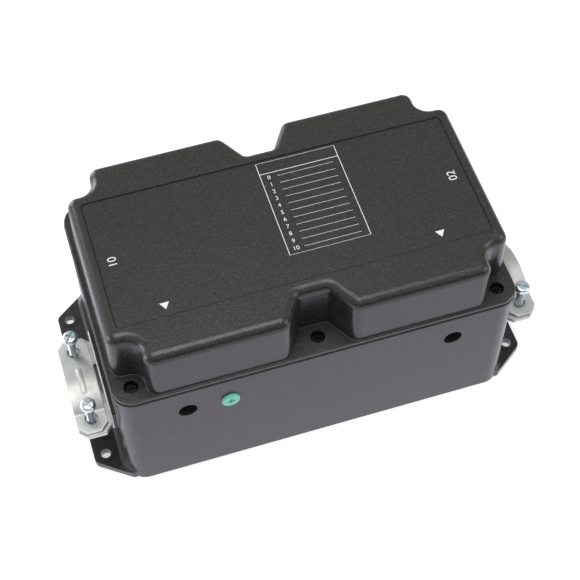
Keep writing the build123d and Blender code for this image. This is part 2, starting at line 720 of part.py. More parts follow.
for x, end in ((-access_hole_x, "left"), (access_hole_x, "right")):
    save(ground_lug(x), f"{end}_ground_lug")
    save(ground_lug_screw(x), f"{end}_ground_lug_screw")

with BuildPart() as ground_screw:
    with Locations(Location((ground_screw_x, -wall_y, ground_z), (90, 0, 0))):
        Cylinder(ground_screw_head_r, ground_screw_head_height, align=UP)
    fillet(ground_screw.faces().sort_by(Axis.Y)[0].edges(), 0.9)
    with Locations(Location((ground_screw_x, -wall_y, ground_z), (-90, 0, 0))):
        Cylinder(ground_screw_r, wall_y + bar_face_y + bar_thickness + 1.5, align=UP)
    with Locations((ground_screw_x, -wall_y - ground_screw_head_height, ground_z)):
        Box(5.6, 2.4, 1.3, mode=Mode.SUBTRACT)
        Box(1.3, 2.4, 5.6, mode=Mode.SUBTRACT)
save(ground_screw, "ground_screw")

with BuildPart() as bar_screw:
    bar_back_y = bar_face_y + bar_thickness
    with Locations(Location((-ground_screw_x, bar_back_y, ground_z), (-90, 0, 0))):
        Cylinder(bar_screw_head_r, 2.2, align=UP)
    with Locations(Location((-ground_screw_x, bar_back_y, ground_z), (90, 0, 0))):
        Cylinder(small_screw_r, bar_thickness + 4.0, align=UP)
save(bar_screw, "ground_bar_screw")

# ---------------------------------------------------------------- contactor
middle = (contactor_x, contactor_y)
core_z = base_z + 3.0
core_top_z = core_z + core_height
armature_z = core_top_z + armature_gap
with BuildPart() as contactor_base:
    with Locations((*middle, base_z)):
        Box(contactor_length, contactor_width, contactor_top_z - base_z, align=UP)
    fillet(contactor_base.edges().filter_by(Axis.Z), 3.0)
    # magnet chamber, open at both sides so the coil's tags show
    chamber_top = armature_z + armature_thickness + carrier_plate + 1.0
    with Locations((*middle, core_z)):
        Box(core_length + 3, contactor_width - 2 * contactor_wall, chamber_top - core_z, align=UP, mode=Mode.SUBTRACT)
        Box(core_length - 8, contactor_width + 2, core_height - 4, align=UP, mode=Mode.SUBTRACT)
    # slot for the armature's stem
    with Locations((*middle, chamber_top - 1)):
        Box(stem_length + 0.4, stem_width + 0.4, 60, align=UP, mode=Mode.SUBTRACT)
    # mounting holes
    with Locations((*middle, base_z)):
        with GridLocations(2 * pad_x, 2 * pad_y, 2, 2):
            Cylinder(small_screw_r + 0.2, 200, mode=Mode.SUBTRACT)
    with Locations((*middle, base_z + 5)):
        with GridLocations(2 * pad_x, 2 * pad_y, 2, 2):
            Cylinder(small_screw_head_r + 0.6, 200, align=UP, mode=Mode.SUBTRACT)
save(contactor_base, "contactor_base")

with BuildPart() as contactor_core:
    with BuildSketch(Plane(origin=(contactor_x, contactor_y + core_depth / 2, core_z), x_dir=(1, 0, 0), z_dir=(0, -1, 0))):
        Rectangle(core_length, core_height, align=(Align.CENTER, Align.MIN))
        gap = (core_length - 2 * core_leg - core_center_leg) / 2
        for sign in (-1, 1):
            with Locations((sign * (core_center_leg + gap) / 2, core_base_height)):
                Rectangle(gap, core_height, align=(Align.CENTER, Align.MIN), mode=Mode.SUBTRACT)
    extrude(amount=core_depth)
save(contactor_core, "contactor_core")

with BuildPart() as contactor_coil:
    coil_z = core_z + core_base_height
    coil_height = core_height - core_base_height - 2.5
    inner_l = core_center_leg + 0.2
    inner_w = core_depth + 0.2
    with BuildSketch(Plane.XY.offset(coil_z)):
        with Locations(middle):
            RectangleRounded(inner_l + 2 * coil_wall, inner_w + 2 * coil_wall, 2.0)
            Rectangle(inner_l, inner_w, mode=Mode.SUBTRACT)
    extrude(amount=1.2)
    with BuildSketch(Plane.XY.offset(coil_z + 1.2)):
        with Locations(middle):
            RectangleRounded(inner_l + 2 * coil_wall - 2, inner_w + 2 * coil_wall - 2, 3.0)
            Rectangle(inner_l, inner_w, mode=Mode.SUBTRACT)
    extrude(amount=coil_height - 2.4)
    with BuildSketch(Plane.XY.offset(coil_z + coil_height - 1.2)):
        with Locations(middle):
            RectangleRounded(inner_l + 2 * coil_wall, inner_w + 2 * coil_wall, 2.0)
            Rectangle(inner_l, inner_w, mode=Mode.SUBTRACT)
    extrude(amount=1.2)
save(contactor_coil, "contactor_coil")

with BuildPart() as armature:
    with Locations((*middle, armature_z)):
        Box(core_length, core_depth, armature_thickness, align=UP)
    chamfer(armature.edges().filter_by(Axis.Y), 1.0)
save(armature, "contactor_armature")

with BuildPart() as carrier:
    stem_z = armature_z + armature_thickness
    with Locations((*middle, stem_z)):
        Box(core_length - 16, core_depth + 2 * coil_wall + 2, carrier_plate, align=UP)
        Box(stem_length, stem_width, carrier_z - stem_z, align=UP)
    with Locations((*middle, carrier_z)):
        Box(stem_length, pole_pitch + 14, carrier_height, align=UP)
    for y in pole_y:
        with Locations((contactor_x, y, carrier_z - 4.0)):
            Box(stem_length - 4, bridge_width, 4.0, align=UP)
save(carrier, "contact_carrier")

bridge_top_z = carrier_z - 4.0
with BuildPart() as bridges:
    for y in pole_y:
        with Locations((contactor_x, y, bridge_top_z)):
            Box(2 * contact_reach + 2 * contact_r, bridge_width, bridge_thickness, align=DOWN)
        with Locations(*[(contactor_x + s * contact_reach, y, bridge_top_z - bridge_thickness) for s in (-1, 1)]):
            Cylinder(contact_r, contact_height, align=DOWN)
save(bridges, "moving_contacts")

with BuildPart() as springs:
    spring_bottom = coil_z + coil_height
    spring_top = armature_z + armature_thickness
    wire = 2 * return_spring_wire_r
    winding_r = return_spring_r - return_spring_wire_r
    winding_height = spring_top - spring_bottom - wire - 2 * seat_gap
    for sign in (-1, 1):
        center = (contactor_x, contactor_y + sign * (core_depth / 2 + return_spring_r + 0.3))
        start_z = spring_bottom + wire / 2 + seat_gap
        turn = Helix(winding_height / return_spring_turns, winding_height, winding_r, center=(*center, start_z))
        with BuildSketch(Plane(origin=turn @ 0, z_dir=turn % 0, x_dir=(1, 0, 0))) as end:
            Rectangle(wire, wire)
        sweep(end.sketch, path=turn, is_frenet=True)
save(springs, "return_springs")


def power_strap(x0, x1):
    """Two copper straps, one per pole, with a fixed contact button at the inner end."""
    inner = min((x0, x1), key=lambda x: abs(x - contactor_x))
    with BuildPart() as strap:
        for y in pole_y:
            with Locations(((x0 + x1) / 2, y, contactor_top_z)):
                Box(abs(x1 - x0), contact_strap_width, contact_strap_thickness, align=UP)
            button_x = inner + math.copysign(contact_r + 0.5, inner - contactor_x)
            with Locations((button_x, y, strap_top_z)):
                Cylinder(contact_r, contact_height, align=UP)
    return strap


inner_reach = contact_reach - contact_r - 0.5
save(power_strap(contactor_x0 + 1, contactor_x - inner_reach), "line_straps")
save(power_strap(contactor_x + inner_reach, output_x1 - 1), "load_straps")

with BuildPart() as hood:
    with Locations((*middle, contactor_top_z)):
        Box(hood_length, contactor_width - 2, hood_top_z - contactor_top_z, align=UP)
        fillet(hood.edges().filter_by(Axis.Z), 2.0)
        Box(
            hood_length - 2 * hood_wall,
            contactor_width - 2 - 2 * hood_wall,
            hood_top_z - contactor_top_z - hood_wall,
            align=UP,
            mode=Mode.SUBTRACT,
        )
    for y in pole_y:
        with Locations((contactor_x, y, contactor_top_z)):
            Box(hood_length + 2, contact_strap_width + 0.6, contact_strap_thickness + 0.3, align=UP, mode=Mode.SUBTRACT)
    with Locations((*middle, hood_top_z)):
        with GridLocations(7.0, 0, 4, 1):
            Box(3.0, 40.0, 2 * hood_wall + 2, mode=Mode.SUBTRACT)
save(hood, "contactor_hood")

with BuildPart() as contactor_screws:
    with Locations((*middle, base_z + 5)):
        with GridLocations(2 * pad_x, 2 * pad_y, 2, 2):
            Cylinder(small_screw_head_r, small_screw_head_height, align=UP)
            Cylinder(small_screw_r, 5 + pad_height - 0.5, align=DOWN)
save(contactor_screws, "contactor_screws")

# ---------------------------------------------------------------- box lugs on the straps and the neutral bar
line_lug_x = contactor_x0 + 1 + lug_length / 2
load_lug_x = output_x1 - 1 - lug_length / 2


def box_lugs(places, z):
    """Plated blocks, each bored along X for one wire, with a threaded hole from the top."""
    with BuildPart() as lugs:
        for x, y in places:
            with Locations((x, y, z)):
                Box(lug_length, lug_width, lug_height, align=UP)
        chamfer(lugs.faces().group_by(Axis.Z)[-1].edges().filter_by(Axis.X), 2.0)
        for x, y in places:
            with Locations(Location((x, y, z + lug_wire_r + 1.6), (0, 90, 0))):
                Cylinder(lug_wire_r, 2 * lug_length, mode=Mode.SUBTRACT)
            with Locations((x, y, z + lug_height)):
                Cylinder(
                    lug_set_screw_r + thread_clearance, lug_height - lug_wire_r - 1.6, align=DOWN, mode=Mode.SUBTRACT
                )
    return lugs


def lug_screws(places, z):
    """Socket set screws, backed out of the wire bore."""
    with BuildPart() as screws:
        for x, y in places:
            with Locations((x, y, z + 2 * lug_wire_r + 1.8)):
                Cylinder(lug_set_screw_r, lug_set_screw_length, align=UP)
            with Locations((x, y, z + 2 * lug_wire_r + 1.8 + lug_set_screw_length)):
                with BuildSketch():
                    RegularPolygon(2.2, 6)
                extrude(amount=-3.0, mode=Mode.SUBTRACT)
    return screws


neutral_top_z = neutral_z + bar_thickness
line_places = [(line_lug_x, y) for y in pole_y]
load_places = [(load_lug_x, y) for y in pole_y]
neutral_places = [(x, neutral_y) for x in (-neutral_lug_x, neutral_lug_x)]
for places, z, name in (
    (line_places, strap_top_z, "line_lug"),
    (load_places, strap_top_z, "load_lug"),
    (neutral_places, neutral_top_z, "neutral_lug"),
):
    save(box_lugs(places, z), f"{name}s")
    save(lug_screws(places, z), f"{name}_screws")

# ---------------------------------------------------------------- current transformers and output block
ring_z = contactor_top_z + contact_strap_thickness / 2
with BuildPart() as transformers:
    for y in pole_y:
        with Locations(Location((transformer_x, y, ring_z), (0, 90, 0))):
            Cylinder(transformer_ring_r, transformer_depth)
            Cylinder(transformer_window_r, 2 * transformer_depth, mode=Mode.SUBTRACT)
    fillet(transformers.edges().filter_by(GeomType.CIRCLE), 1.2)
save(transformers, "current_transformers")

with BuildPart() as cradle:
    cradle_top = ring_z - 4.0
    with Locations((transformer_x, contactor_y, tub_floor)):
        Box(transformer_depth + 4, contactor_width, cradle_top - tub_floor, align=UP)
    for y in pole_y:
        with Locations(Location((transformer_x, y, ring_z), (0, 90, 0))):
            Cylinder(transformer_ring_r + seat_gap, transformer_depth + 0.2, mode=Mode.SUBTRACT)
            Cylinder(transformer_window_r + 1.0, 40, mode=Mode.SUBTRACT)
    # relief under the seats, so the cradle is a pair of cheeks on a floor
    with Locations((transformer_x, contactor_y, tub_floor + 3.0)):
        Box(transformer_depth - 2, contactor_width - 8, 34.0, align=UP, mode=Mode.SUBTRACT)
save(cradle, "transformer_cradle")

with BuildPart() as output_block:
    with Locations((output_block_x, contactor_y, tub_floor)):
        Box(output_block_length, contactor_width, contactor_top_z - tub_floor, align=UP)
        fillet(output_block.edges().filter_by(Axis.Z), 2.0)
        Box(output_block_length - 8, contactor_width - 8, contactor_top_z - tub_floor - 6, align=UP, mode=Mode.SUBTRACT)
    with Locations((output_block_x, contactor_y, contactor_top_z)):
        Box(output_block_length, 3.0, 20.0, align=UP)
save(output_block, "output_block")

# ---------------------------------------------------------------- neutral bar
with BuildPart() as neutral_bar:
    with BuildSketch(Plane.XY.offset(neutral_z)):
        with Locations((0, neutral_y)):
            RectangleRounded(2 * neutral_half_length, neutral_width, 2.0)
        with Locations((-neutral_post_x, neutral_y), (neutral_post_x, neutral_y)):
            Circle(small_screw_r + thread_clearance, mode=Mode.SUBTRACT)
    extrude(amount=bar_thickness)
save(neutral_bar, "neutral_bar")


def small_screws(places, z, grip):
    """Plain pan-head screws whose heads sit at height z and hold `grip` of material."""
    with BuildPart() as screws:
        with Locations(*[(x, y, z) for x, y in places]):
            Cylinder(small_screw_head_r, small_screw_head_height, align=UP)
            Cylinder(small_screw_r, grip + 5.0, align=DOWN)
    return screws


save(
    small_screws([(x, neutral_y) for x in (-neutral_post_x, neutral_post_x)], neutral_top_z, bar_thickness),
    "neutral_bar_screws",
)

# ---------------------------------------------------------------- boards
board_top_z = board_z + board_thickness
board_middle_y = (board_front_y + board_back_y) / 2


def board(x_range):
    """Glass-epoxy board on four posts."""
    x0, x1 = x_range
    with BuildPart() as plate:
        with BuildSketch(Plane.XY.offset(board_z)):
            with Locations(((x0 + x1) / 2, board_middle_y)):
                RectangleRounded(x1 - x0, board_depth, 1.5)
                with GridLocations(x1 - x0 - 2 * board_hole_inset, board_depth - 2 * board_hole_inset, 2, 2):
                    Circle(small_screw_r + thread_clearance, mode=Mode.SUBTRACT)
        extrude(amount=board_thickness)
    return plate


save(board(control_board_x), "control_board")
save(board(surge_board_x), "surge_board")
save(small_screws(board_posts, board_top_z, board_thickness), "board_screws")

board_left_x = control_board_x[0]
with BuildPart() as supply_transformer:
    core_bottom_z = board_top_z + (bobbin_size[2] - core_stack[2]) / 2
    with Locations((board_left_x + supply_from_edge, board_middle_y, core_bottom_z)):
        Box(*core_stack, align=UP)
        Box(core_stack[0] - 2 * core_window, core_stack[1] + 2, core_stack[2] - 2 * core_window, align=UP)
        chamfer(supply_transformer.edges().filter_by(Axis.Y), 0.6)
    with Locations((board_left_x + supply_from_edge, board_middle_y, board_top_z)):
        Box(bobbin_size[0], bobbin_size[1] - 2 * bobbin_flange, bobbin_size[2], align=UP)
        with GridLocations(0, bobbin_size[1] - bobbin_flange, 1, 2):
            Box(bobbin_size[0] + 2, bobbin_flange, bobbin_size[2], align=UP)
save(supply_transformer, "supply_transformer")

with BuildPart() as relays:
    relay_x = board_left_x + relay_from_edge
    relay_y = board_front_y + relay_size[1] / 2 + 2.5
    with Locations(*[(relay_x + i * relay_pitch, relay_y, board_top_z) for i in range(2)]):
        Box(*relay_size, align=UP)
    fillet(relays.faces().group_by(Axis.Z)[-1].edges(), 0.8)
save(relays, "coil_relays")

with BuildPart() as capacitors:
    for from_edge, radius, height in capacitor_list:
        with Locations((board_left_x + from_edge, board_back_y - back_row - 1.0, board_top_z)):
            Cylinder(radius, height, align=UP)
save(capacitors, "board_capacitors")

with BuildPart() as chips:
    for from_edge, width in chip_list:
        with Locations((board_left_x + from_edge, board_back_y - back_row, board_top_z)):
            Box(width, width, chip_thickness, align=UP)
save(chips, "board_chips")

with BuildPart() as jack:
    jack_x = control_board_x[1] - jack_size[0] / 2
    jack_y = board_front_y + jack_size[1] / 2 + 8.5
    with Locations((jack_x, jack_y, board_top_z)):
        Box(*jack_size, align=UP)
    with Locations((control_board_x[1], jack_y, board_top_z + jack_wall)):
        Box(2 * jack_mouth_depth, *jack_mouth, align=UP, mode=Mode.SUBTRACT)
save(jack, "display_jack")

with BuildPart() as varistors:
    for i in range(varistor_count):
        x = sum(surge_board_x) / 2 + (i - (varistor_count - 1) / 2) * varistor_pitch
        with Locations((x, board_middle_y, board_top_z)):
            Box(*varistor_size, align=UP)
    fillet(varistors.edges().filter_by(Axis.X).group_by(Axis.Z)[-1], 4.0)
save(varistors, "surge_varistors")

# ---------------------------------------------------------------- factory wiring
contactor_rear_y = contactor_y + contactor_width / 2
lead_pad_y = board_front_y + board_pad_row
gap_x = (transformer_x + transformer_depth / 2 + 2 + output_block_x - output_block_length / 2) / 2


def run_lead(route, radius, bend):
    """Insulated wire along a route of straight runs with rounded bends."""
    with BuildLine() as run:
        FilletPolyline(*route, radius=bend)
    line = run.wire()
    with BuildSketch(Plane(origin=line @ 0, z_dir=line % 0)) as core:
        Circle(radius)
    sweep(core.sketch, path=line)


def surge_route(x, y):
    """From the surge board's front pads, over the gap beside the output block, down to a strap."""
    high_z = board_top_z + power_lead_lift
    return [(x, lead_pad_y, board_top_z), (x, lead_pad_y, high_z), (x, y, high_z), (x, y, strap_top_z)]


def coil_route(x):
    """From the control board down the gap behind the contactor and into its rear wall."""
    gap_y = (board_front_y + contactor_rear_y) / 2
    high_z = board_top_z + sense_lead_lift
    entry_z = tub_floor + coil_entry_height
    return [
        (x, lead_pad_y, board_top_z),
        (x, lead_pad_y, high_z),
        (x, gap_y, high_z),
        (x, gap_y, entry_z),
        (x, contactor_rear_y, entry_z),
    ]


def sense_route(x, y, pad_x):
    """From the top of a current transformer, back and down to the control board."""
    high_z = ring_z + transformer_ring_r + sense_lead_lift
    low_z = board_top_z + 2 * sense_lead_lift
    return [
        (x, y, ring_z + transformer_ring_r),
        (x, y, high_z),
        (x, pole_y[-1] + sense_lead_lift, high_z),
        (pad_x, lead_pad_y, low_z),
        (pad_x, lead_pad_y, board_top_z),
    ]


def ground_route():
    """From the surge board over the straps to the back of the ground bar."""
    start_y = lead_pad_y + ground_lead_back
    return [(gap_x, start_y, board_top_z), (gap_x, start_y, ground_z), (gap_x, bar_face_y + bar_thickness, ground_z)]


def neutral_route():
    """From the surge board round its rear edge and down to the neutral bar below it."""
    x = surge_board_x[1] - neutral_lead_set_in
    edge_y = board_back_y + power_lead_r + 2.0
    bar_z = neutral_z + bar_thickness / 2
    return [
        (x, board_back_y - board_pad_row, board_top_z),
        (x, board_back_y - board_pad_row, board_top_z + 2 * power_lead_bend),
        (x, edge_y, board_top_z + 2 * power_lead_bend),
        (x, edge_y, bar_z),
        (x, neutral_y + neutral_width / 2, bar_z),
    ]


with BuildPart() as black_leads:
    run_lead(surge_route(gap_x - surge_lead_spread, pole_y[1]), power_lead_r, power_lead_bend)
    run_lead(coil_route(coil_lead_x[0]), signal_lead_r, signal_lead_bend)
    for y, offset, pad_x in zip(pole_y, sense_lead_offset, sense_pad_x):
        run_lead(sense_route(transformer_x + offset, y, pad_x), signal_lead_r, signal_lead_bend)
save(black_leads, "black_leads")

with BuildPart() as red_leads:
    run_lead(surge_route(gap_x + surge_lead_spread, pole_y[0]), power_lead_r, power_lead_bend)
    run_lead(coil_route(coil_lead_x[1]), signal_lead_r, signal_lead_bend)
save(red_leads, "red_leads")

with BuildPart() as ground_lead:
    run_lead(ground_route(), power_lead_r, power_lead_bend)
save(ground_lead, "ground_lead")

with BuildPart() as neutral_lead:
    run_lead(neutral_route(), power_lead_r, power_lead_bend / 2)
save(neutral_lead, "neutral_lead")
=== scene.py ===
"""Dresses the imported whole-house surge protector: finishes, printed marks, clamp hardware, studio.

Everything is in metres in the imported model's frame: origin at the middle of the underside, +X
towards the load end, -Y towards the front wall with the ground-screw holes, +Z up.
"""

from __future__ import annotations

import logging
import math
from dataclasses import dataclass, field
from enum import Enum

import bmesh
import bpy
import numpy as np
from mathutils import Matrix, Vector

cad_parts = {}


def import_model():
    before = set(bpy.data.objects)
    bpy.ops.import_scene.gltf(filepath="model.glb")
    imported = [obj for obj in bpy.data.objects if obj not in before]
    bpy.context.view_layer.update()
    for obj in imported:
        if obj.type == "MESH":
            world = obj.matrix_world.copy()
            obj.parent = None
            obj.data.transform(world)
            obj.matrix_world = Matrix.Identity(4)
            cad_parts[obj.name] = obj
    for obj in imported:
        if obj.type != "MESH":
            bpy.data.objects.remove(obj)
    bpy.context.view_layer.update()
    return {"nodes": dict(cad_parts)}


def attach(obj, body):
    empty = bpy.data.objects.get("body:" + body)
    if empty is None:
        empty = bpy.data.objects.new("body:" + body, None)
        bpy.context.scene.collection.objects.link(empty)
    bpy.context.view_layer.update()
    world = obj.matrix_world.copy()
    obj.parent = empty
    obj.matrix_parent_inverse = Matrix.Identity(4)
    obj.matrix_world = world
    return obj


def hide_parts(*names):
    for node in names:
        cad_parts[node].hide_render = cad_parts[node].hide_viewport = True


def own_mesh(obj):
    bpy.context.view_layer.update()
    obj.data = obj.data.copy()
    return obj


log = logging.getLogger("surge_protector")
MM = 0.001
# Height of Blender's own digits over the font's size
DIGIT_SHARE = 0.7
# A noise cell holds about this many spots side by side
SPOTS_PER_CELL = 1.6
# Numbers of a Mix node's two colour inputs and its colour output
MIX_FROM, MIX_TO, MIX_OUT = 6, 7, 2

Source = bpy.types.NodeSocket | float | tuple[float, ...]


# ------------------------------------------------------------------ colour and node helpers
def linear(hex_colour: str) -> tuple[float, float, float, float]:
    """Turns an sRGB hex value into the linear colour that a shader socket takes.

    Args:
        hex_colour: Six hex digits, with or without a leading #.

    Returns:
        Red, green, blue and alpha, linear, from 0 to 1.
    """
    digits = hex_colour.lstrip("#")
    parts = [int(digits[i : i + 2], 16) / 255 for i in (0, 2, 4)]
    flat = [c / 12.92 if c <= 0.04045 else ((c + 0.055) / 1.055) ** 2.4 for c in parts]
    return (flat[0], flat[1], flat[2], 1.0)


def add_node(
    tree: bpy.types.NodeTree,
    kind: str,
    sockets: dict[str | int, Source] | None = None,
    stops: tuple[tuple[float, str], ...] = (),
    **settings: object,
) -> bpy.types.Node:
    """Adds one node, links or sets its sockets, and sets its properties.

    Args:
        tree: Node tree that gets the node.
        kind: Blender's type name of the node.
        sockets: Name or number of an input, and the output that feeds it or its plain value.
        stops: For a colour ramp: place from 0 to 1 and hex colour, in rising order.
        **settings: Properties of the node.

    Returns:
        The new node.
    """
    node = tree.nodes.new(kind)
    for key, value in settings.items():
        setattr(node, key, value)
    for socket, source in (sockets or {}).items():
        if isinstance(source, bpy.types.NodeSocket):
            tree.links.new(source, node.inputs[socket])
        else:
            node.inputs[socket].default_value = source
    if stops:
        points = node.color_ramp.elements
        while len(points) < len(stops):
            points.new(0.5)
        for point, (place, colour) in zip(points, stops):
            point.position = place
            point.color = linear(colour)
    return node


class Axis(Enum):
    """Direction in which a pattern runs."""

    X = 0
    Y = 1
    Z = 2


# ------------------------------------------------------------------ finishes
@dataclass(frozen=True)
class Finish:
    """A surface finish. Its pattern lengths are in millimetres.

    Args:
        name: What the material is and how its surface was made.
        colour: sRGB hex of the plain colour.
        roughness: Roughness of the smooth parts.
        metallic: 1 for bare or plated metal.
        grain_mm: Width of one grain of the surface.
        relief_mm: Height of the grain.
        spread: How far the roughness goes up and down.
    """

    name: str
    colour: str
    roughness: float = 0.5
    metallic: float = 0.0
    grain_mm: float = 0.5
    relief_mm: float = 0.03
    spread: float = 0.06

    def material(self) -> bpy.types.Material:
        """Returns the material, which is made on its first use."""
        made = bpy.data.materials.get(self.name)
        if made is not None:
            return made
        made = bpy.data.materials.new(self.name)
        made.use_nodes = True
        tree = made.node_tree
        shader = tree.nodes["Principled BSDF"]
        plain = {
            "Base Color": linear(self.colour),
            "Roughness": self.roughness,
            "Metallic": self.metallic,
        }
        for socket, value in plain.items():
            shader.inputs[socket].default_value = value
        place = add_node(tree, "ShaderNodeTexCoord").outputs["Object"]
        self.pattern(tree, shader, place)
        return made

    def noise(
        self,
        tree: bpy.types.NodeTree,
        place: bpy.types.NodeSocket,
        width_mm: float,
        detail: float = 3.0,
        stretch: tuple[float, float, float] = (1.0, 1.0, 1.0),
    ) -> bpy.types.NodeSocket:
        """Adds noise whose spots are about width_mm wide.

        Args:
            tree: Node tree that gets the noise.
            place: Object coordinates.
            width_mm: Width of a spot.
            detail: Octaves of finer spots within them.
            stretch: How much the pattern is packed along each axis.

        Returns:
            The noise's value, about 0.5 in the middle.
        """
        turned = add_node(tree, "ShaderNodeMapping", {"Vector": place, "Scale": stretch})
        spots = {
            "Vector": turned.outputs["Vector"],
            "Scale": 1 / (width_mm * MM * SPOTS_PER_CELL),
            "Detail": detail,
            "Roughness": 0.6,
        }
        return add_node(tree, "ShaderNodeTexNoise", spots).outputs["Fac"]

    def relief(
        self, tree: bpy.types.NodeTree, shader: bpy.types.Node, height: bpy.types.NodeSocket
    ) -> None:
        """Turns a height from 0 to 1 into a bump of relief_mm."""
        bump = add_node(
            tree, "ShaderNodeBump", {"Height": height, "Distance": self.relief_mm * MM}
        )
        tree.links.new(bump.outputs["Normal"], shader.inputs["Normal"])

    def vary_roughness(
        self, tree: bpy.types.NodeTree, shader: bpy.types.Node, value: bpy.types.NodeSocket
    ) -> None:
        """Moves the roughness up and down by the spread as value goes from 0 to 1."""
        ends = {
            "Value": value,
            "To Min": max(self.roughness - self.spread, 0.02),
            "To Max": min(self.roughness + self.spread, 1.0),
        }
        fitted = add_node(tree, "ShaderNodeMapRange", ends)
        tree.links.new(fitted.outputs["Result"], shader.inputs["Roughness"])

    def pattern(
        self, tree: bpy.types.NodeTree, shader: bpy.types.Node, place: bpy.types.NodeSocket
    ) -> None:
        """Adds what makes this finish more than a flat colour: here a fine grain."""
        grain = self.noise(tree, place, self.grain_mm)
        self.vary_roughness(tree, shader, grain)
        self.relief(tree, shader, grain)


@dataclass(frozen=True)
class MouldedPlastic(Finish):
    """Plastic from a spark-eroded mould: a tight matt grain with paler tips, and soft clouding.

    Args:
        tip_colour: sRGB hex of the worn grain tips.
        tip_share: How much of the tip colour shows.
        tip_heights: Grain height above which the tips show, and at which they show in full.
        ior: Index of refraction.
        cloud_mm: Width of the clouds in the gloss.
        wall_gloss: How much smoother the upright walls are than the faces across the mould's
            draw, since a deep texture would drag as the walls are pulled out.
        wall_grain: Share of the grain's height that the upright walls keep.
        upright: Where |z| of the normal counts as a wall, and from where it doesn't.
    """

    spread: float = 0.05
    tip_colour: str = "3a3a3c"
    tip_share: float = 0.5
    tip_heights: tuple[float, float] = (0.5, 0.78)
    ior: float = 1.5
    cloud_mm: float = 26.0
    wall_gloss: float = 0.0
    wall_grain: float = 0.65
    upright: tuple[float, float] = (0.25, 0.8)

    def smooth_walls(
        self, tree: bpy.types.NodeTree, shader: bpy.types.Node, height: bpy.types.NodeSocket
    ) -> bpy.types.NodeSocket:
        """Makes upright faces glossier by wall_gloss and fades their grain to wall_grain.

        Args:
            tree: Node tree of the material.
            shader: Its shader, with the roughness already linked.
            height: Height of the grain.

        Returns:
            The faded height.
        """
        normal = add_node(tree, "ShaderNodeNewGeometry").outputs["Normal"]
        parts = add_node(tree, "ShaderNodeSeparateXYZ", {"Vector": normal})
        level = add_node(tree, "ShaderNodeMath", {0: parts.outputs["Z"]}, operation="ABSOLUTE")
        from_wall = {
            "Value": level.outputs["Value"],
            "From Min": self.upright[0],
            "From Max": self.upright[1],
        }
        gloss, grain = (
            add_node(tree, "ShaderNodeMapRange", from_wall | {"To Min": low, "To Max": high})
            for low, high in ((self.wall_gloss, 0.0), (self.wall_grain, 1.0))
        )
        rough = shader.inputs["Roughness"].links[0].from_socket
        less = add_node(
            tree, "ShaderNodeMath", {0: rough, 1: gloss.outputs["Result"]}, operation="SUBTRACT"
        )
        tree.links.new(less.outputs["Value"], shader.inputs["Roughness"])
        return add_node(
            tree, "ShaderNodeMath", {0: height, 1: grain.outputs["Result"]}, operation="MULTIPLY"
        ).outputs["Value"]

    def pattern(
        self, tree: bpy.types.NodeTree, shader: bpy.types.Node, place: bpy.types.NodeSocket
    ) -> None:
        """Grain for relief and tips, a second coarser noise for clouding of the gloss."""
        shader.inputs["IOR"].default_value = self.ior
        grain = self.noise(tree, place, self.grain_mm, detail=2.0)
        cloud = self.noise(tree, place, self.cloud_mm, detail=4.0)
        low, high = self.tip_heights
        lifted = add_node(
            tree, "ShaderNodeMapRange", {"Value": grain, "From Min": low, "From Max": high}
        ).outputs["Result"]
        share = add_node(
            tree, "ShaderNodeMath", {0: lifted, 1: self.tip_share}, operation="MULTIPLY"
        ).outputs["Value"]
        tips = {0: share, MIX_FROM: linear(self.colour), MIX_TO: linear(self.tip_colour)}
        mixed = add_node(tree, "ShaderNodeMix", tips, data_type="RGBA")
        tree.links.new(mixed.outputs[MIX_OUT], shader.inputs["Base Color"])
        self.vary_roughness(tree, shader, cloud)
        height = self.smooth_walls(tree, shader, grain) if self.wall_gloss else grain
        self.relief(tree, shader, height)


@dataclass(frozen=True)
class PlatedMetal(Finish):
    """Zinc or tin plating: faint rolled streaks, cloudy gloss and a slight change of tint.

    Args:
        tint: sRGB hex of the passivated patches.
        run: Direction of the rolled streaks.
        streak: Width of a streak over its length.
        cloud_mm: Width of the passivated patches.
    """

    metallic: float = 1.0
    spread: float = 0.2
    tint: str = "c9ccd2"
    run: Axis = Axis.Y
    streak: float = 0.06
    cloud_mm: float = 5.0

    def pattern(
        self, tree: bpy.types.NodeTree, shader: bpy.types.Node, place: bpy.types.NodeSocket
    ) -> None:
        """Streaks drawn out along the rolling direction, and clouds that shift tint and gloss."""
        stretch = [1.0, 1.0, 1.0]
        stretch[self.run.value] = self.streak
        streak = self.noise(tree, place, self.grain_mm, detail=4.0, stretch=tuple(stretch))
        cloud = self.noise(tree, place, self.cloud_mm, detail=4.0)
        patches = ((0.3, self.colour), (0.72, self.tint))
        colour = add_node(tree, "ShaderNodeValToRGB", {"Fac": cloud}, stops=patches)
        tree.links.new(colour.outputs["Color"], shader.inputs["Base Color"])
        both = add_node(tree, "ShaderNodeMath", {0: streak, 1: cloud}, operation="ADD")
        mean = add_node(
            tree, "ShaderNodeMath", {0: both.outputs["Value"], 1: 0.5}, operation="MULTIPLY"
        )
        self.vary_roughness(tree, shader, mean.outputs["Value"])
        self.relief(tree, shader, streak)


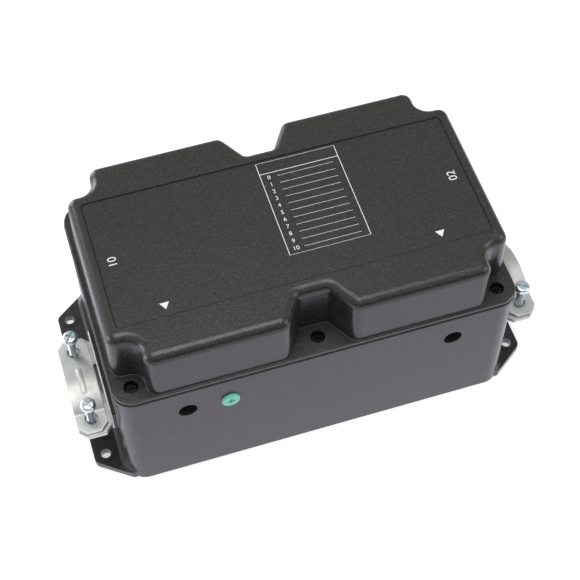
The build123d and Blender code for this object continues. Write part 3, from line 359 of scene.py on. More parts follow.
@dataclass(frozen=True)
class DieCast(Finish):
    """Die-cast zinc, tumbled: a soft orange peel with darker pores and brightened high spots.

    Args:
        pore: sRGB hex of the pores.
        pore_share: Width of a pore over a dimple's of the orange peel.
    """

    metallic: float = 1.0
    spread: float = 0.12
    pore: str = "8d8d8c"
    pore_share: float = 0.3

    def pattern(
        self, tree: bpy.types.NodeTree, shader: bpy.types.Node, place: bpy.types.NodeSocket
    ) -> None:
        """Orange peel from broad noise, pores from the low end of a finer one."""
        peel = self.noise(tree, place, self.grain_mm, detail=3.0)
        fine = self.noise(tree, place, self.grain_mm * self.pore_share, detail=5.0)
        pores = ((0.32, self.pore), (0.46, self.colour))
        colour = add_node(tree, "ShaderNodeValToRGB", {"Fac": fine}, stops=pores)
        tree.links.new(colour.outputs["Color"], shader.inputs["Base Color"])
        self.vary_roughness(tree, shader, fine)
        self.relief(tree, shader, peel)


@dataclass(frozen=True)
class SealedCasting(DieCast):
    """A die casting with a painted shade band on its wall plate: dark and not metallic where the
    plate meets the case wall.

    Args:
        seal: sRGB hex of the painted shade.
        seal_middle_mm: From the middle of the case to the middle of the painted shade band.
        seal_half_mm: Half of the painted shade band's width.
    """

    seal: str = "161617"
    seal_middle_mm: float = 132.5
    seal_half_mm: float = 1.3

    def pattern(
        self, tree: bpy.types.NodeTree, shader: bpy.types.Node, place: bpy.types.NodeSocket
    ) -> None:
        """The casting's own pattern, and painted shade where | |x| - gap_shade_middle | <
        gap_shade_half.
        """
        super().pattern(tree, shader, place)
        cast_colour = shader.inputs["Base Color"].links[0].from_socket
        parts = add_node(tree, "ShaderNodeSeparateXYZ", {"Vector": place})
        out = add_node(tree, "ShaderNodeMath", {0: parts.outputs["X"]}, operation="ABSOLUTE")
        # Painted shade: a band of |x| by the case wall gets a dark, non-metallic colour in place of
        # the zinc
        band = {0: out.outputs["Value"], 1: self.seal_middle_mm * MM, 2: self.seal_half_mm * MM}
        in_gap_shade = add_node(tree, "ShaderNodeMath", band, operation="COMPARE").outputs["Value"]
        edge = {0: in_gap_shade, MIX_FROM: cast_colour, MIX_TO: linear(self.seal)}
        mixed = add_node(tree, "ShaderNodeMix", edge, data_type="RGBA")
        tree.links.new(mixed.outputs[MIX_OUT], shader.inputs["Base Color"])
        outside_gap_shade = add_node(tree, "ShaderNodeMath", {0: 1.0, 1: in_gap_shade}, operation="SUBTRACT")
        tree.links.new(outside_gap_shade.outputs["Value"], shader.inputs["Metallic"])


@dataclass(frozen=True)
class Striped(Finish):
    """Parallel lines at a real spacing: stacked laminations, wound wire, or wrapped tape.

    Args:
        groove: sRGB hex between the lines.
        spacing_mm: Distance from line to line.
        across: Direction in which one line follows the next.
        smear_mm: Width of the clouds that break the lines' colour.
    """

    spread: float = 0.1
    groove: str = "2a2a2a"
    spacing_mm: float = 0.8
    across: Axis = Axis.Y
    smear_mm: float = 3.0

    def pattern(
        self, tree: bpy.types.NodeTree, shader: bpy.types.Node, place: bpy.types.NodeSocket
    ) -> None:
        """A wave across the lines, the sine of 20 * scale * place, so that its period is the
        spacing where scale = pi / (10 * spacing), gives grooves. Noise breaks their colour."""
        bands = {
            "Vector": place,
            "Scale": math.pi / 10 / (self.spacing_mm * MM),
            "Distortion": 0.15,
            "Detail": 1.0,
        }
        wave = add_node(
            tree,
            "ShaderNodeTexWave",
            bands,
            wave_type="BANDS",
            bands_direction=self.across.name,
        ).outputs["Fac"]
        smear = self.noise(tree, place, self.smear_mm, detail=4.0)
        both = add_node(tree, "ShaderNodeMath", {0: wave, 1: smear}, operation="MULTIPLY")
        colour = add_node(
            tree,
            "ShaderNodeValToRGB",
            {"Fac": both.outputs["Value"]},
            stops=((0.02, self.groove), (0.3, self.colour)),
        )
        tree.links.new(colour.outputs["Color"], shader.inputs["Base Color"])
        self.vary_roughness(tree, shader, smear)
        self.relief(tree, shader, wave)


@dataclass(frozen=True)
class SolderMask(Finish):
    """Green solder mask over copper on woven glass: paler tracks and dots of tin.

    Args:
        track: sRGB hex of the mask over copper.
        pad: sRGB hex of the tinned pads.
        track_mm: Width of the copper areas that the tracks bound.
        pad_mm: Distance from pad to pad.
    """

    track: str = "2f7a4a"
    pad: str = "c9c9c4"
    track_mm: float = 4.2
    pad_mm: float = 5.1

    def pattern(
        self, tree: bpy.types.NodeTree, shader: bpy.types.Node, place: bpy.types.NodeSocket
    ) -> None:
        """Square cells give right-angled tracks: the distance from a cell's middle, folded back
        at 0.16, is near 0 along evenly spaced lines. The middles of round cells give the pads."""
        areas = {"Vector": place, "Scale": 1 / (self.track_mm * MM), "Randomness": 0.85}
        cells = add_node(tree, "ShaderNodeTexVoronoi", areas, distance="CHEBYCHEV")
        edge = add_node(
            tree, "ShaderNodeMath", {0: cells.outputs["Distance"], 1: 0.16}, operation="PINGPONG"
        ).outputs["Value"]
        tracks = add_node(
            tree,
            "ShaderNodeValToRGB",
            {"Fac": edge},
            stops=((0.05, self.track), (0.062, self.colour)),
        )
        rows = {"Vector": place, "Scale": 1 / (self.pad_mm * MM), "Randomness": 0.6}
        dots = add_node(tree, "ShaderNodeTexVoronoi", rows).outputs["Distance"]
        spot = add_node(
            tree, "ShaderNodeValToRGB", {"Fac": dots}, stops=((0.14, "ffffff"), (0.17, "000000"))
        )
        pads = {
            0: spot.outputs["Color"],
            MIX_FROM: tracks.outputs["Color"],
            MIX_TO: linear(self.pad),
        }
        mixed = add_node(tree, "ShaderNodeMix", pads, data_type="RGBA")
        tree.links.new(mixed.outputs[MIX_OUT], shader.inputs["Base Color"])
        self.relief(tree, shader, edge)


# Spark-eroded black ABS of the case: a soft sheen broken by paler grain tips, and walls a little
# glossier than the top, so they mirror the pale floor. The real grain is about 0.2 mm wide, which
# is too fine to show, so it is drawn as coarse as it needs.
CASE_PLASTIC = MouldedPlastic(
    "spark_eroded_black_abs", "272725", roughness=0.31, grain_mm=0.9, relief_mm=0.15,
    tip_colour="4a4a48", tip_share=0.7, wall_gloss=0.06,
)
# White ink of the plain marks on the cover
PRINT_INK = Finish("white_pad_printed_ink", "e4e4e1", roughness=0.55, grain_mm=0.4, relief_mm=0.01)
# Painted shade along the label recess's wall: a matt near-black strip that stands in for the shade
# at the recess edge
RECESS_EDGE_PAINTED_SHADE = Finish(
    "painted_shade_at_recess_edge", "0c0c0c", roughness=0.8, grain_mm=0.5, relief_mm=0.02
)
# Neoprene foam behind the wall plates: no gloss, open cells of under a millimetre
GASKET_RUBBER = Finish(
    "closed_cell_neoprene_foam", "0e0e0f", roughness=0.85, grain_mm=0.8, relief_mm=0.12
)
# Black oxide on the cover screws: dark, with the gloss of the steel below
BLACK_STEEL = PlatedMetal(
    "black_oxide_screw_steel", "1d1d20", roughness=0.34, grain_mm=0.4, relief_mm=0.01, tint="34343a"
)
# Tumbled zinc of the clamp castings: an even grey metal with soft orange peel, and a painted shade
# band, dark and not metallic, on the wall plate next to the case wall
ZINC_CASTING_WITH_GAP_SHADE = SealedCasting(
    "tumbled_zinc_die_casting_with_painted_gap_shade", "c9c9c6", roughness=0.4, grain_mm=1.8, relief_mm=0.06
)
# Zinc-plated strip of the straps: pale and satin, with faint streaks along the strip
STRAP_STEEL = PlatedMetal(
    "zinc_plated_rolled_strip", "cdcec9", roughness=0.5, grain_mm=0.5, relief_mm=0.012,
    tint="bcbfbc",
)
# Bright zinc on the clamp screws: glossier and bluer than the straps
SCREW_ZINC = PlatedMetal(
    "bright_zinc_plated_screw", "e6ecee", roughness=0.34, grain_mm=0.4, relief_mm=0.006,
    tint="b9cdd2", run=Axis.Z,
)
# Tin over copper: a warm grey where the tin is thin
PLATED_COPPER = PlatedMetal(
    "tin_plated_copper_strap", "c8c2b8", roughness=0.38, grain_mm=0.6, relief_mm=0.015,
    tint="cfa789", run=Axis.X,
)
# Extruded aluminium of the lugs: dull tin with lines along the extrusion
LUG_ALUMINIUM = PlatedMetal(
    "extruded_tin_plated_aluminium", "d2d3d4", roughness=0.4, grain_mm=0.5, relief_mm=0.02,
    tint="bfc1c4", run=Axis.X,
)
# Baked enamel of the ground screws: smooth, pale green and glossy
GREEN_ENAMEL = Finish(
    "green_enamelled_screw_head", "7fdcc0", roughness=0.3, grain_mm=1.2, relief_mm=0.03
)
# Phenolic resin of the contactor: brown-black with a faint mottle
CONTACTOR_RESIN = MouldedPlastic(
    "moulded_phenolic_resin", "23211f", roughness=0.42, grain_mm=1.2, relief_mm=0.04,
    tip_colour="35322e", tip_share=0.5,
)
# Natural nylon of the contact carrier: milky, slightly waxy
CARRIER_NYLON = MouldedPlastic(
    "moulded_natural_nylon", "cfc8b6", roughness=0.45, grain_mm=1.0, relief_mm=0.02,
    tip_colour="ddd7c8", tip_share=0.4, ior=1.53,
)
# Sheets of silicon steel: real ones are 0.5 mm thick, drawn a little coarser to show as lines
CORE_LAMINATIONS = Striped(
    "stacked_silicon_steel_laminations", "9a9894", roughness=0.45, metallic=1.0,
    groove="4a4946", spacing_mm=0.9, across=Axis.Y, relief_mm=0.06,
)
# Enamelled copper wire under clear tape: shiny amber rounds
COIL_WINDING = Striped(
    "taped_enamelled_copper_winding", "b5682c", roughness=0.35, groove="5a2c10",
    spacing_mm=0.7, across=Axis.Z, relief_mm=0.15,
)
# Music wire of the return springs: bright from the drawing die
SPRING_STEEL = PlatedMetal(
    "drawn_music_wire", "b9bcc0", roughness=0.25, grain_mm=0.3, relief_mm=0.005
)
# Yellow polyester tape round the ring core, each turn lapping the one before
TRANSFORMER_TAPE = Striped(
    "polyester_taped_ring_core", "c9a43a", roughness=0.4, groove="8f7020",
    spacing_mm=2.4, across=Axis.Y, relief_mm=0.12,
)
# Glass epoxy board under green mask: smooth, with tracks that show as paler lines
BOARD_LAMINATE = SolderMask("green_masked_glass_epoxy", "14502c", roughness=0.34, relief_mm=0.05)
# Blue moulded cases of the relays: satin
RELAY_PLASTIC = MouldedPlastic(
    "moulded_relay_case", "2c4f86", roughness=0.3, grain_mm=0.8, relief_mm=0.015,
    tip_colour="36609c", tip_share=0.4,
)
# Heat-shrunk sleeve of the capacitors: tight and glossy
CAPACITOR_SLEEVE = Finish(
    "shrunk_pvc_sleeve", "1c2a4c", roughness=0.28, grain_mm=1.5, relief_mm=0.02
)
# Moulded epoxy of the chips: matt
CHIP_RESIN = Finish("moulded_epoxy_package", "1a1a1b", roughness=0.6, grain_mm=0.3, relief_mm=0.02)
# Extruded PVC of the leads: a soft satin, the same in all four colours
BLACK_INSULATION, RED_INSULATION, GREEN_INSULATION, WHITE_INSULATION = (
    Finish(f"{name}_pvc_insulation", colour, roughness=0.42, grain_mm=1.5, relief_mm=0.02)
    for name, colour in (
        ("black", "1e1e20"), ("red", "a01c1c"), ("green", "1f7a38"), ("white", "dcdcd6"),
    )
)
# Dipped epoxy of the varistors: thick, glossy and a little lumpy
VARISTOR_RESIN = Finish("dipped_blue_epoxy", "2f5fb0", roughness=0.25, grain_mm=3.0, relief_mm=0.15)

FINISH_OF_SLOT: dict[str, Finish] = {
    "case_plastic": CASE_PLASTIC,
    "gasket_rubber": GASKET_RUBBER,
    "black_steel": BLACK_STEEL,
    "zinc_casting": ZINC_CASTING_WITH_GAP_SHADE,
    "plated_steel": STRAP_STEEL,
    "bright_zinc": SCREW_ZINC,
    "plated_copper": PLATED_COPPER,
    "lug_aluminium": LUG_ALUMINIUM,
    "green_screw": GREEN_ENAMEL,
    "contactor_plastic": CONTACTOR_RESIN,
    "lamination_steel": CORE_LAMINATIONS,
    "coil_winding": COIL_WINDING,
    "carrier_plastic": CARRIER_NYLON,
    "spring_steel": SPRING_STEEL,
    "transformer_tape": TRANSFORMER_TAPE,
    "circuit_board": BOARD_LAMINATE,
    "relay_plastic": RELAY_PLASTIC,
    "capacitor_sleeve": CAPACITOR_SLEEVE,
    "chip_resin": CHIP_RESIN,
    "varistor_resin": VARISTOR_RESIN,
    "black_insulation": BLACK_INSULATION,
    "red_insulation": RED_INSULATION,
    "green_insulation": GREEN_INSULATION,
    "white_insulation": WHITE_INSULATION,
}


# ------------------------------------------------------------------ meshes from arrays
@dataclass
class Shape:
    """Points and faces of one piece, in metres.

    Args:
        points: One row of x, y, z per point.
        faces: Corner numbers, four or three per face.
    """

    points: np.ndarray
    faces: list[list[int]] = field(default_factory=list)

    @staticmethod
    def from_grid(grid: np.ndarray, wrap_columns: bool = False) -> Shape:
        """Joins a grid of points into quads: cell (i, j) takes its corners from rows i and i + 1
        and columns j and j + 1, counted round to 0 where the columns wrap.

        Args:
            grid: Rows by columns by 3.
            wrap_columns: Whether the last column joins the first.

        Returns:
            The shape.
        """
        rows, columns = grid.shape[:2]
        i = np.arange(rows - 1)[:, None]
        j = np.arange(columns if wrap_columns else columns - 1)[None, :]
        below, right = i + 1, (j + 1) % columns
        quads = np.stack(
            [i * columns + j, i * columns + right, below * columns + right, below * columns + j],
            axis=-1,
        )
        return Shape(grid.reshape(-1, 3), quads.reshape(-1, 4).tolist())

    def joined(self, *others: Shape) -> Shape:
        """Returns this shape and the others as one."""
        points, faces = [self.points], list(self.faces)
        start = len(self.points)
        for other in others:
            points.append(other.points)
            faces += [[c + start for c in face] for face in other.faces]
            start += len(other.points)
        return Shape(np.concatenate(points), faces)

    def build(
        self,
        name: str,
        finish: Finish,
        body: str,
        slot: str,
        replaces: tuple[str, ...] = (),
        merge_mm: float = 0.001,
        sharp_degrees: float = 35.0,
    ) -> bpy.types.Object:
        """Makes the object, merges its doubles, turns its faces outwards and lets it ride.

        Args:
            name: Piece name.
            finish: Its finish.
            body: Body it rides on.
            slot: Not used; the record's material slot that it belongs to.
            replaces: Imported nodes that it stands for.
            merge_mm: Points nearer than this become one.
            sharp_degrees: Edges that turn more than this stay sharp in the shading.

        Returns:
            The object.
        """
        mesh = bpy.data.meshes.new(name)
        mesh.from_pydata(self.points.tolist(), [], self.faces)
        work = bmesh.new()
        work.from_mesh(mesh)
        bmesh.ops.remove_doubles(work, verts=work.verts, dist=merge_mm * MM)
        bmesh.ops.recalc_face_normals(work, faces=work.faces)
        work.to_mesh(mesh)
        work.free()
        mesh.polygons.foreach_set("use_smooth", np.ones(len(mesh.polygons), dtype=bool))
        mesh.set_sharp_from_angle(angle=math.radians(sharp_degrees))
        mesh.materials.append(finish.material())
        piece = bpy.data.objects.new(name, mesh)
        bpy.context.scene.collection.objects.link(piece)
        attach(piece, body)
        if replaces:
            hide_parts(*replaces)
        log.info("built %s: %d faces", name, len(mesh.polygons))
        return piece


# ------------------------------------------------------------------ studio
@dataclass(frozen=True)
class Softbox:
    """A square soft lamp that faces the object.

    Args:
        name: Lamp's name.
        place: Its middle.
        size: Side of its square.
        watts: Its power.
        colour: sRGB hex of its light.
    """

    name: str
    place: tuple[float, float, float]
    size: float
    watts: float
    colour: str = "ffffff"

    def hang(self, target: Vector) -> None:
        """Adds the lamp to the scene, turned to the target."""
        data = bpy.data.lights.new(self.name, "AREA")
        data.shape, data.size, data.energy = "SQUARE", self.size, self.watts
        data.color = linear(self.colour)[:3]
        lamp = bpy.data.objects.new(self.name, data)
        bpy.context.scene.collection.objects.link(lamp)
        lamp.location = self.place
        aim = target - Vector(self.place)
        lamp.rotation_euler = aim.to_track_quat("-Z", "Y").to_euler()


@dataclass
class Studio:
    """Camera, soft lamps, white surroundings and a plain floor.

    Args:
        azimuth: Camera's bearing in degrees; 0 looks along +Y.
        elevation: Camera's height above the horizon in degrees.
        roll: Camera's turn about its own axis in degrees.
        lens_mm: Focal length on a 36 mm sensor.
        offset: Camera's place right, up and back of the top's middle, in metres.
        top_z: Height of the top, which the offset is measured from.
        floor_gloss: Brightness of the floor as glossy walls mirror it.
        floor_glow: What the camera sees of the floor beyond its lit paint, which keeps it white.
        fill_light: Strength of the even light from all sides.
        room_tilt: How far the pale ceiling comes down behind the object.
        room: Colours of the room as gloss mirrors it, from the dark horizon to the ceiling.
        lamps: The soft lamps.
        floor_half: Half side of the floor.
    """

    azimuth: float = -17.186
    elevation: float = 56.584
    roll: float = -0.318
    lens_mm: float = 88.12
    offset: tuple[float, float, float] = (0.0028384, -0.0452427, 0.8833709)
    top_z: float = 0.140
    floor_gloss: float = 1.32
    floor_glow: float = 0.55
    fill_light: float = 0.5
    room_tilt: float = 0.15
    room: tuple[tuple[float, str], ...] = (
        (0.12, "08080a"),
        (0.3, "1e1e20"),
        (0.52, "e2e2e2"),
        (0.8, "b4b4b4"),
        (1.0, "a8a8a8"),
    )
    lamps: tuple[Softbox, ...] = (
        Softbox("overhead_softbox", (-0.05, 0.0, 1.35), 0.75, 8.5),
        Softbox("left_softbox", (-1.3, 0.2, 0.25), 0.6, 7.0, "f8f6ff"),
        Softbox("rear_left_softbox", (-0.75, 1.1, 0.35), 0.6, 9.0, "f8f6ff"),
        Softbox("right_softbox", (1.1, -0.5, 0.7), 0.6, 4.0),
    )
    floor_half: float = 6.0

    def place_camera(self) -> None:
        """Builds the camera from its bearing, height and roll: right = forward x up, then both
        turned by the roll about the line of sight."""
        az, el, roll = (math.radians(a) for a in (self.azimuth, self.elevation, self.roll))
        back = Vector((math.sin(az) * math.cos(el), -math.cos(az) * math.cos(el), math.sin(el)))
        right = (-back).cross(Vector((0, 0, 1))).normalized()
        up = right.cross(-back)
        turned_right = math.cos(roll) * right + math.sin(roll) * up
        turned_up = -math.sin(roll) * right + math.cos(roll) * up
        data = bpy.data.cameras.new("studio_camera")
        data.lens, data.sensor_width = self.lens_mm, 36.0
        data.clip_start, data.clip_end = 0.02, 60.0
        camera = bpy.data.objects.new("studio_camera", data)
        bpy.context.scene.collection.objects.link(camera)
        place = turned_right * self.offset[0] + turned_up * self.offset[1] + back * self.offset[2]
        place.z += self.top_z
        turn = Matrix((turned_right, turned_up, back)).transposed().to_4x4()
        camera.matrix_world = Matrix.Translation(place) @ turn
        bpy.context.scene.camera = camera

    def set_world(self) -> None:
        """White to the camera, pale grey as fill light, and to gloss a room whose brightness
        follows z + tilt * y of the direction: a pale ceiling and back, a dark front."""
        world = bpy.data.worlds.new("white_cyclorama")
        bpy.context.scene.world = world
        world.use_nodes = True
        tree = world.node_tree
        tree.nodes.clear()
        ray = add_node(tree, "ShaderNodeLightPath")
        way = add_node(tree, "ShaderNodeTexCoord").outputs["Generated"]
        parts = add_node(tree, "ShaderNodeSeparateXYZ", {"Vector": way})
        toward_back = add_node(
            tree,
            "ShaderNodeMath",
            {0: parts.outputs["Y"], 1: self.room_tilt, 2: parts.outputs["Z"]},
            operation="MULTIPLY_ADD",
        )
        sky = add_node(
            tree,
            "ShaderNodeValToRGB",
            {"Fac": toward_back.outputs["Value"]},
            stops=self.room,
        )
        seen = add_node(
            tree,
            "ShaderNodeMath",
            {0: ray.outputs["Is Camera Ray"], 1: ray.outputs["Is Transmission Ray"]},
            operation="MAXIMUM",
        )
        fill, glossy, white = (
            add_node(tree, "ShaderNodeBackground", {"Color": colour, "Strength": strength})
            for colour, strength in (
                (linear("f4f4f6"), self.fill_light),
                (sky.outputs["Color"], 1.0),
                (linear("ffffff"), 1.0),
            )
        )
        inner = add_node(
            tree,
            "ShaderNodeMixShader",
            {0: ray.outputs["Is Glossy Ray"], 1: fill.outputs[0], 2: glossy.outputs[0]},
        )
        outer = add_node(
            tree,
            "ShaderNodeMixShader",
            {0: seen.outputs["Value"], 1: inner.outputs[0], 2: white.outputs[0]},
        )
        add_node(tree, "ShaderNodeOutputWorld", {"Surface": outer.outputs[0]})

    def lay_floor(self) -> None:
        """A plain white floor that keeps the object's shadow: z = 0 over a wide square."""
        side = np.array([-self.floor_half, self.floor_half])
        x, y = np.meshgrid(side, side, indexing="ij")
        grid = np.stack([x, y, np.zeros_like(x)], axis=-1)
        shape = Shape.from_grid(grid)
        mesh = bpy.data.meshes.new("floor")
        mesh.from_pydata(shape.points.tolist(), [], [face[::-1] for face in shape.faces])
        floor = bpy.data.objects.new("floor", mesh)
        bpy.context.scene.collection.objects.link(floor)
        paint = bpy.data.materials.new("white_painted_floor")
        paint.use_nodes = True
        tree = paint.node_tree
        tree.nodes.clear()
        ray = add_node(tree, "ShaderNodeLightPath")
        matt = add_node(tree, "ShaderNodeBsdfDiffuse", {"Color": linear("e9e9e9")})
        glow = add_node(tree, "ShaderNodeEmission", {"Strength": self.floor_glow})
        seen = add_node(tree, "ShaderNodeAddShader", {0: matt.outputs[0], 1: glow.outputs[0]})
        mirrored = add_node(
            tree, "ShaderNodeEmission", {"Color": linear("f6f2ff"), "Strength": self.floor_gloss}
        )
        lit = add_node(
            tree,
            "ShaderNodeMixShader",
            {0: ray.outputs["Is Camera Ray"], 1: matt.outputs[0], 2: seen.outputs[0]},
        )
        chosen = add_node(
            tree,
            "ShaderNodeMixShader",
            {0: ray.outputs["Is Glossy Ray"], 1: lit.outputs[0], 2: mirrored.outputs[0]},
        )
        add_node(tree, "ShaderNodeOutputMaterial", {"Surface": chosen.outputs[0]})
        mesh.materials.append(paint)

    def build(self) -> None:
        """Sets up the whole studio."""
        self.place_camera()
        self.set_world()
        self.lay_floor()
        for lamp in self.lamps:
            lamp.hang(Vector((0, 0, self.top_z / 2)))
        bpy.context.scene.view_settings.view_transform = "Standard"
        log.info("studio ready")


# ------------------------------------------------------------------ printed marks on the cover
@dataclass
class CoverPrint:
    """Plain white marks in the cover's label recess: a ruled table of numbers, an end number at
    each cable entry, and an arrow to each ground screw.

    Args:
        face_z: Height of the recess floor.
        film: Thickness of the ink.
        table: Left, right, lower and upper edge of the table's frame.
        header_y: Height of the rule under the table's heading.
        recess: Half length, half width and corner radius of the label recess.
        margin: Width of the painted shade strip along the recess's wall.
        rule: Width of a printed rule.
        rows: How many numbered rows the table has.
        head_gap: Clearance between the heading's rule and the rows, and under the last row.
        digit_height: Height of a row's number.
        number_inset: From the table's left edge to the middle of a row's number.
        line_inset: From the table's left and right edge to the ends of a row's line.
        line_half: Half the width of a row's line.
        end_number: Distance of an end number from the middle, and its height.
        arrow_place: Distance of an arrow from the middle along X, its place along Y, its size.
    """

    face_z: float = 139.4 * MM
    film: float = 0.03 * MM
    table: tuple[float, float, float, float] = (-6 * MM, 47 * MM, -28 * MM, 46 * MM)
    header_y: float = 37 * MM
    recess: tuple[float, float, float] = (120.0 * MM, 48.2 * MM, 3.0 * MM)
    margin: float = 0.8 * MM
    rule: float = 0.45 * MM
    rows: int = 11
    head_gap: tuple[float, float] = (0.8 * MM, 1.2 * MM)
    digit_height: float = 3.0 * MM
    number_inset: float = 5.5 * MM
    line_inset: tuple[float, float] = (11 * MM, 5 * MM)
    line_half: float = 0.12 * MM
    end_number: tuple[float, float] = (111 * MM, 5.5 * MM)
    arrow_place: tuple[float, float, float] = (88 * MM, -38 * MM, 5.0 * MM)

    def bar(self, x0: float, x1: float, y0: float, y1: float) -> Shape:
        """A printed rectangle: the grid of its four corners at the ink's height."""
        x, y = np.meshgrid(np.array([x0, x1]), np.array([y0, y1]), indexing="ij")
        return Shape.from_grid(np.stack([x, y, np.full_like(x, self.face_z + self.film)], axis=-1))

    def margin_strip(self) -> Shape:
        """The painted shade strip along the recess wall: a rounded rectangle and the same one set in
        by the shade width. A corner's points are centre + radius * (cos a, sin a), with a from its
        own quarter of the circle."""
        half_length, half_width, radius = self.recess
        a = np.radians(np.arange(4)[:, None] * 90.0 + np.linspace(0.0, 90.0, 7)[None, :])
        centre_x = np.array([1, -1, -1, 1])[:, None] * (half_length - radius)
        centre_y = np.array([1, 1, -1, -1])[:, None] * (half_width - radius)
        loops = [
            np.stack([centre_x + r * np.cos(a), centre_y + r * np.sin(a)], axis=-1).reshape(-1, 2)
            for r in (radius, radius - self.margin)
        ]
        grid = np.stack(loops, axis=0)[::-1]
        height = np.full(grid.shape[:2] + (1,), self.face_z + 0.5 * self.film)
        return Shape.from_grid(np.concatenate([grid, height], axis=-1), wrap_columns=True)

    def arrow(self, x: float, y: float, size: float) -> Shape:
        """A plain triangle that points to the front wall: tip at (x, y - size)."""
        z = self.face_z + self.film
        points = np.array([[x - size * 0.6, y, z], [x, y - size, z], [x + size * 0.6, y, z]])
        return Shape(points, [[0, 1, 2]])

    def numeral(self, text: str, x: float, y: float, height: float, turn: float = 0.0) -> Shape:
        """The outline of a plain number, as a flat mesh.

        Args:
            text: The number.
            x: Middle of the number.
            y: Middle of the number.
            height: Height of its digits.
            turn: Turn about Z in degrees.

        Returns:
            The shape: the font's points turned by the angle and moved to (x, y).
        """
        curve = bpy.data.curves.new("numeral", "FONT")
        curve.body, curve.size = text, height / DIGIT_SHARE
        curve.align_x, curve.align_y = "CENTER", "CENTER"
        holder = bpy.data.objects.new("numeral", curve)
        bpy.context.scene.collection.objects.link(holder)
        bpy.context.view_layer.update()
        mesh = bpy.data.meshes.new_from_object(holder)
        flat = np.zeros(len(mesh.vertices) * 3)
        mesh.vertices.foreach_get("co", flat)
        flat = flat.reshape(-1, 3)
        a = math.radians(turn)
        c, s = math.cos(a), math.sin(a)
        turned = flat @ np.array([[c, s, 0.0], [-s, c, 0.0], [0.0, 0.0, 1.0]])
        faces = [list(polygon.vertices) for polygon in mesh.polygons]
        bpy.data.objects.remove(holder)
        bpy.data.curves.remove(curve)
        bpy.data.meshes.remove(mesh)
        return Shape(turned + np.array([x, y, self.face_z + self.film]), faces)

    def build(self) -> None:
        """Draws the frame, rules, numbers and arrows as one inked piece."""
        x0, x1, y0, y1 = self.table
        r = self.rule
        marks = [
            self.bar(x0, x1, y1 - r, y1),
            self.bar(x0, x1, y0, y0 + r),
            self.bar(x0, x0 + r, y0 + r, y1 - r),
            self.bar(x1 - r, x1, y0 + r, y1 - r),
            self.bar(x0 + r, x1 - r, self.header_y - r / 2, self.header_y + r / 2),
        ]
        pitch = (self.header_y - y0 - sum(self.head_gap)) / self.rows
        left, right = x0 + self.line_inset[0], x1 - self.line_inset[1]
        for row in range(self.rows):
            y = self.header_y - pitch * (row + 0.5) - self.head_gap[0]
            marks.append(self.numeral(str(row), x0 + self.number_inset, y, self.digit_height))
            marks.append(self.bar(left, right, y - self.line_half, y + self.line_half))
        end_x, end_height = self.end_number
        for side, text in ((-1, "01"), (1, "02")):
            marks.append(self.numeral(text, side * end_x, 0.0, end_height, side * 90.0))
        arrow_x, arrow_y, size = self.arrow_place
        for side in (-1, 1):
            marks.append(self.arrow(side * arrow_x, arrow_y, size))
        whole = marks[0].joined(*marks[1:])
        whole.build("printed_marks", PRINT_INK, "cover", "case_plastic")
        # Painted shade: a dark strip along the recess wall that stands in for the shade at its edge
        self.margin_strip().build("recess_edge_painted_shade", RECESS_EDGE_PAINTED_SHADE, "cover", "case_plastic")


# ------------------------------------------------------------------ clamp hardware
def disc_grid(
    radius: float, lines: np.ndarray
) -> tuple[np.ndarray, np.ndarray, np.ndarray, np.ndarray]:
    """Lays a square grid over a disc. Near the middle the lines stay straight; towards the rim a
    point p of the square moves to p * (1 - w + w * max(|u|, |v|) / |p|), where w goes from 0 at
    0.3 of the half side to 1 at 0.75, so the square's edge becomes the circle.

    Args:
        radius: Radius of the disc.
        lines: Places of the grid lines from -1 to 1, the same along both axes.

    Returns:
        x and y of the points, and the grid's own u and v before the move, all as square arrays.
    """
    u, v = np.meshgrid(lines, lines, indexing="ij")
    largest = np.maximum(np.abs(u), np.abs(v))
    length = np.maximum(np.hypot(u, v), 1e-9)
    t = np.clip((largest - 0.3) / 0.45, 0.0, 1.0)
    w = t * t * (3 - 2 * t)
    scale = np.where(largest > 0, 1 - w + w * largest / length, 1.0)
    return u * scale * radius, v * scale * radius, u * radius, v * radius


def rim_loop(grid: np.ndarray) -> np.ndarray:
    """Takes the outer points of a square grid in order round its edge."""
    return np.concatenate([grid[:-1, 0], grid[-1, :-1], grid[:0:-1, -1], grid[0, :0:-1]])


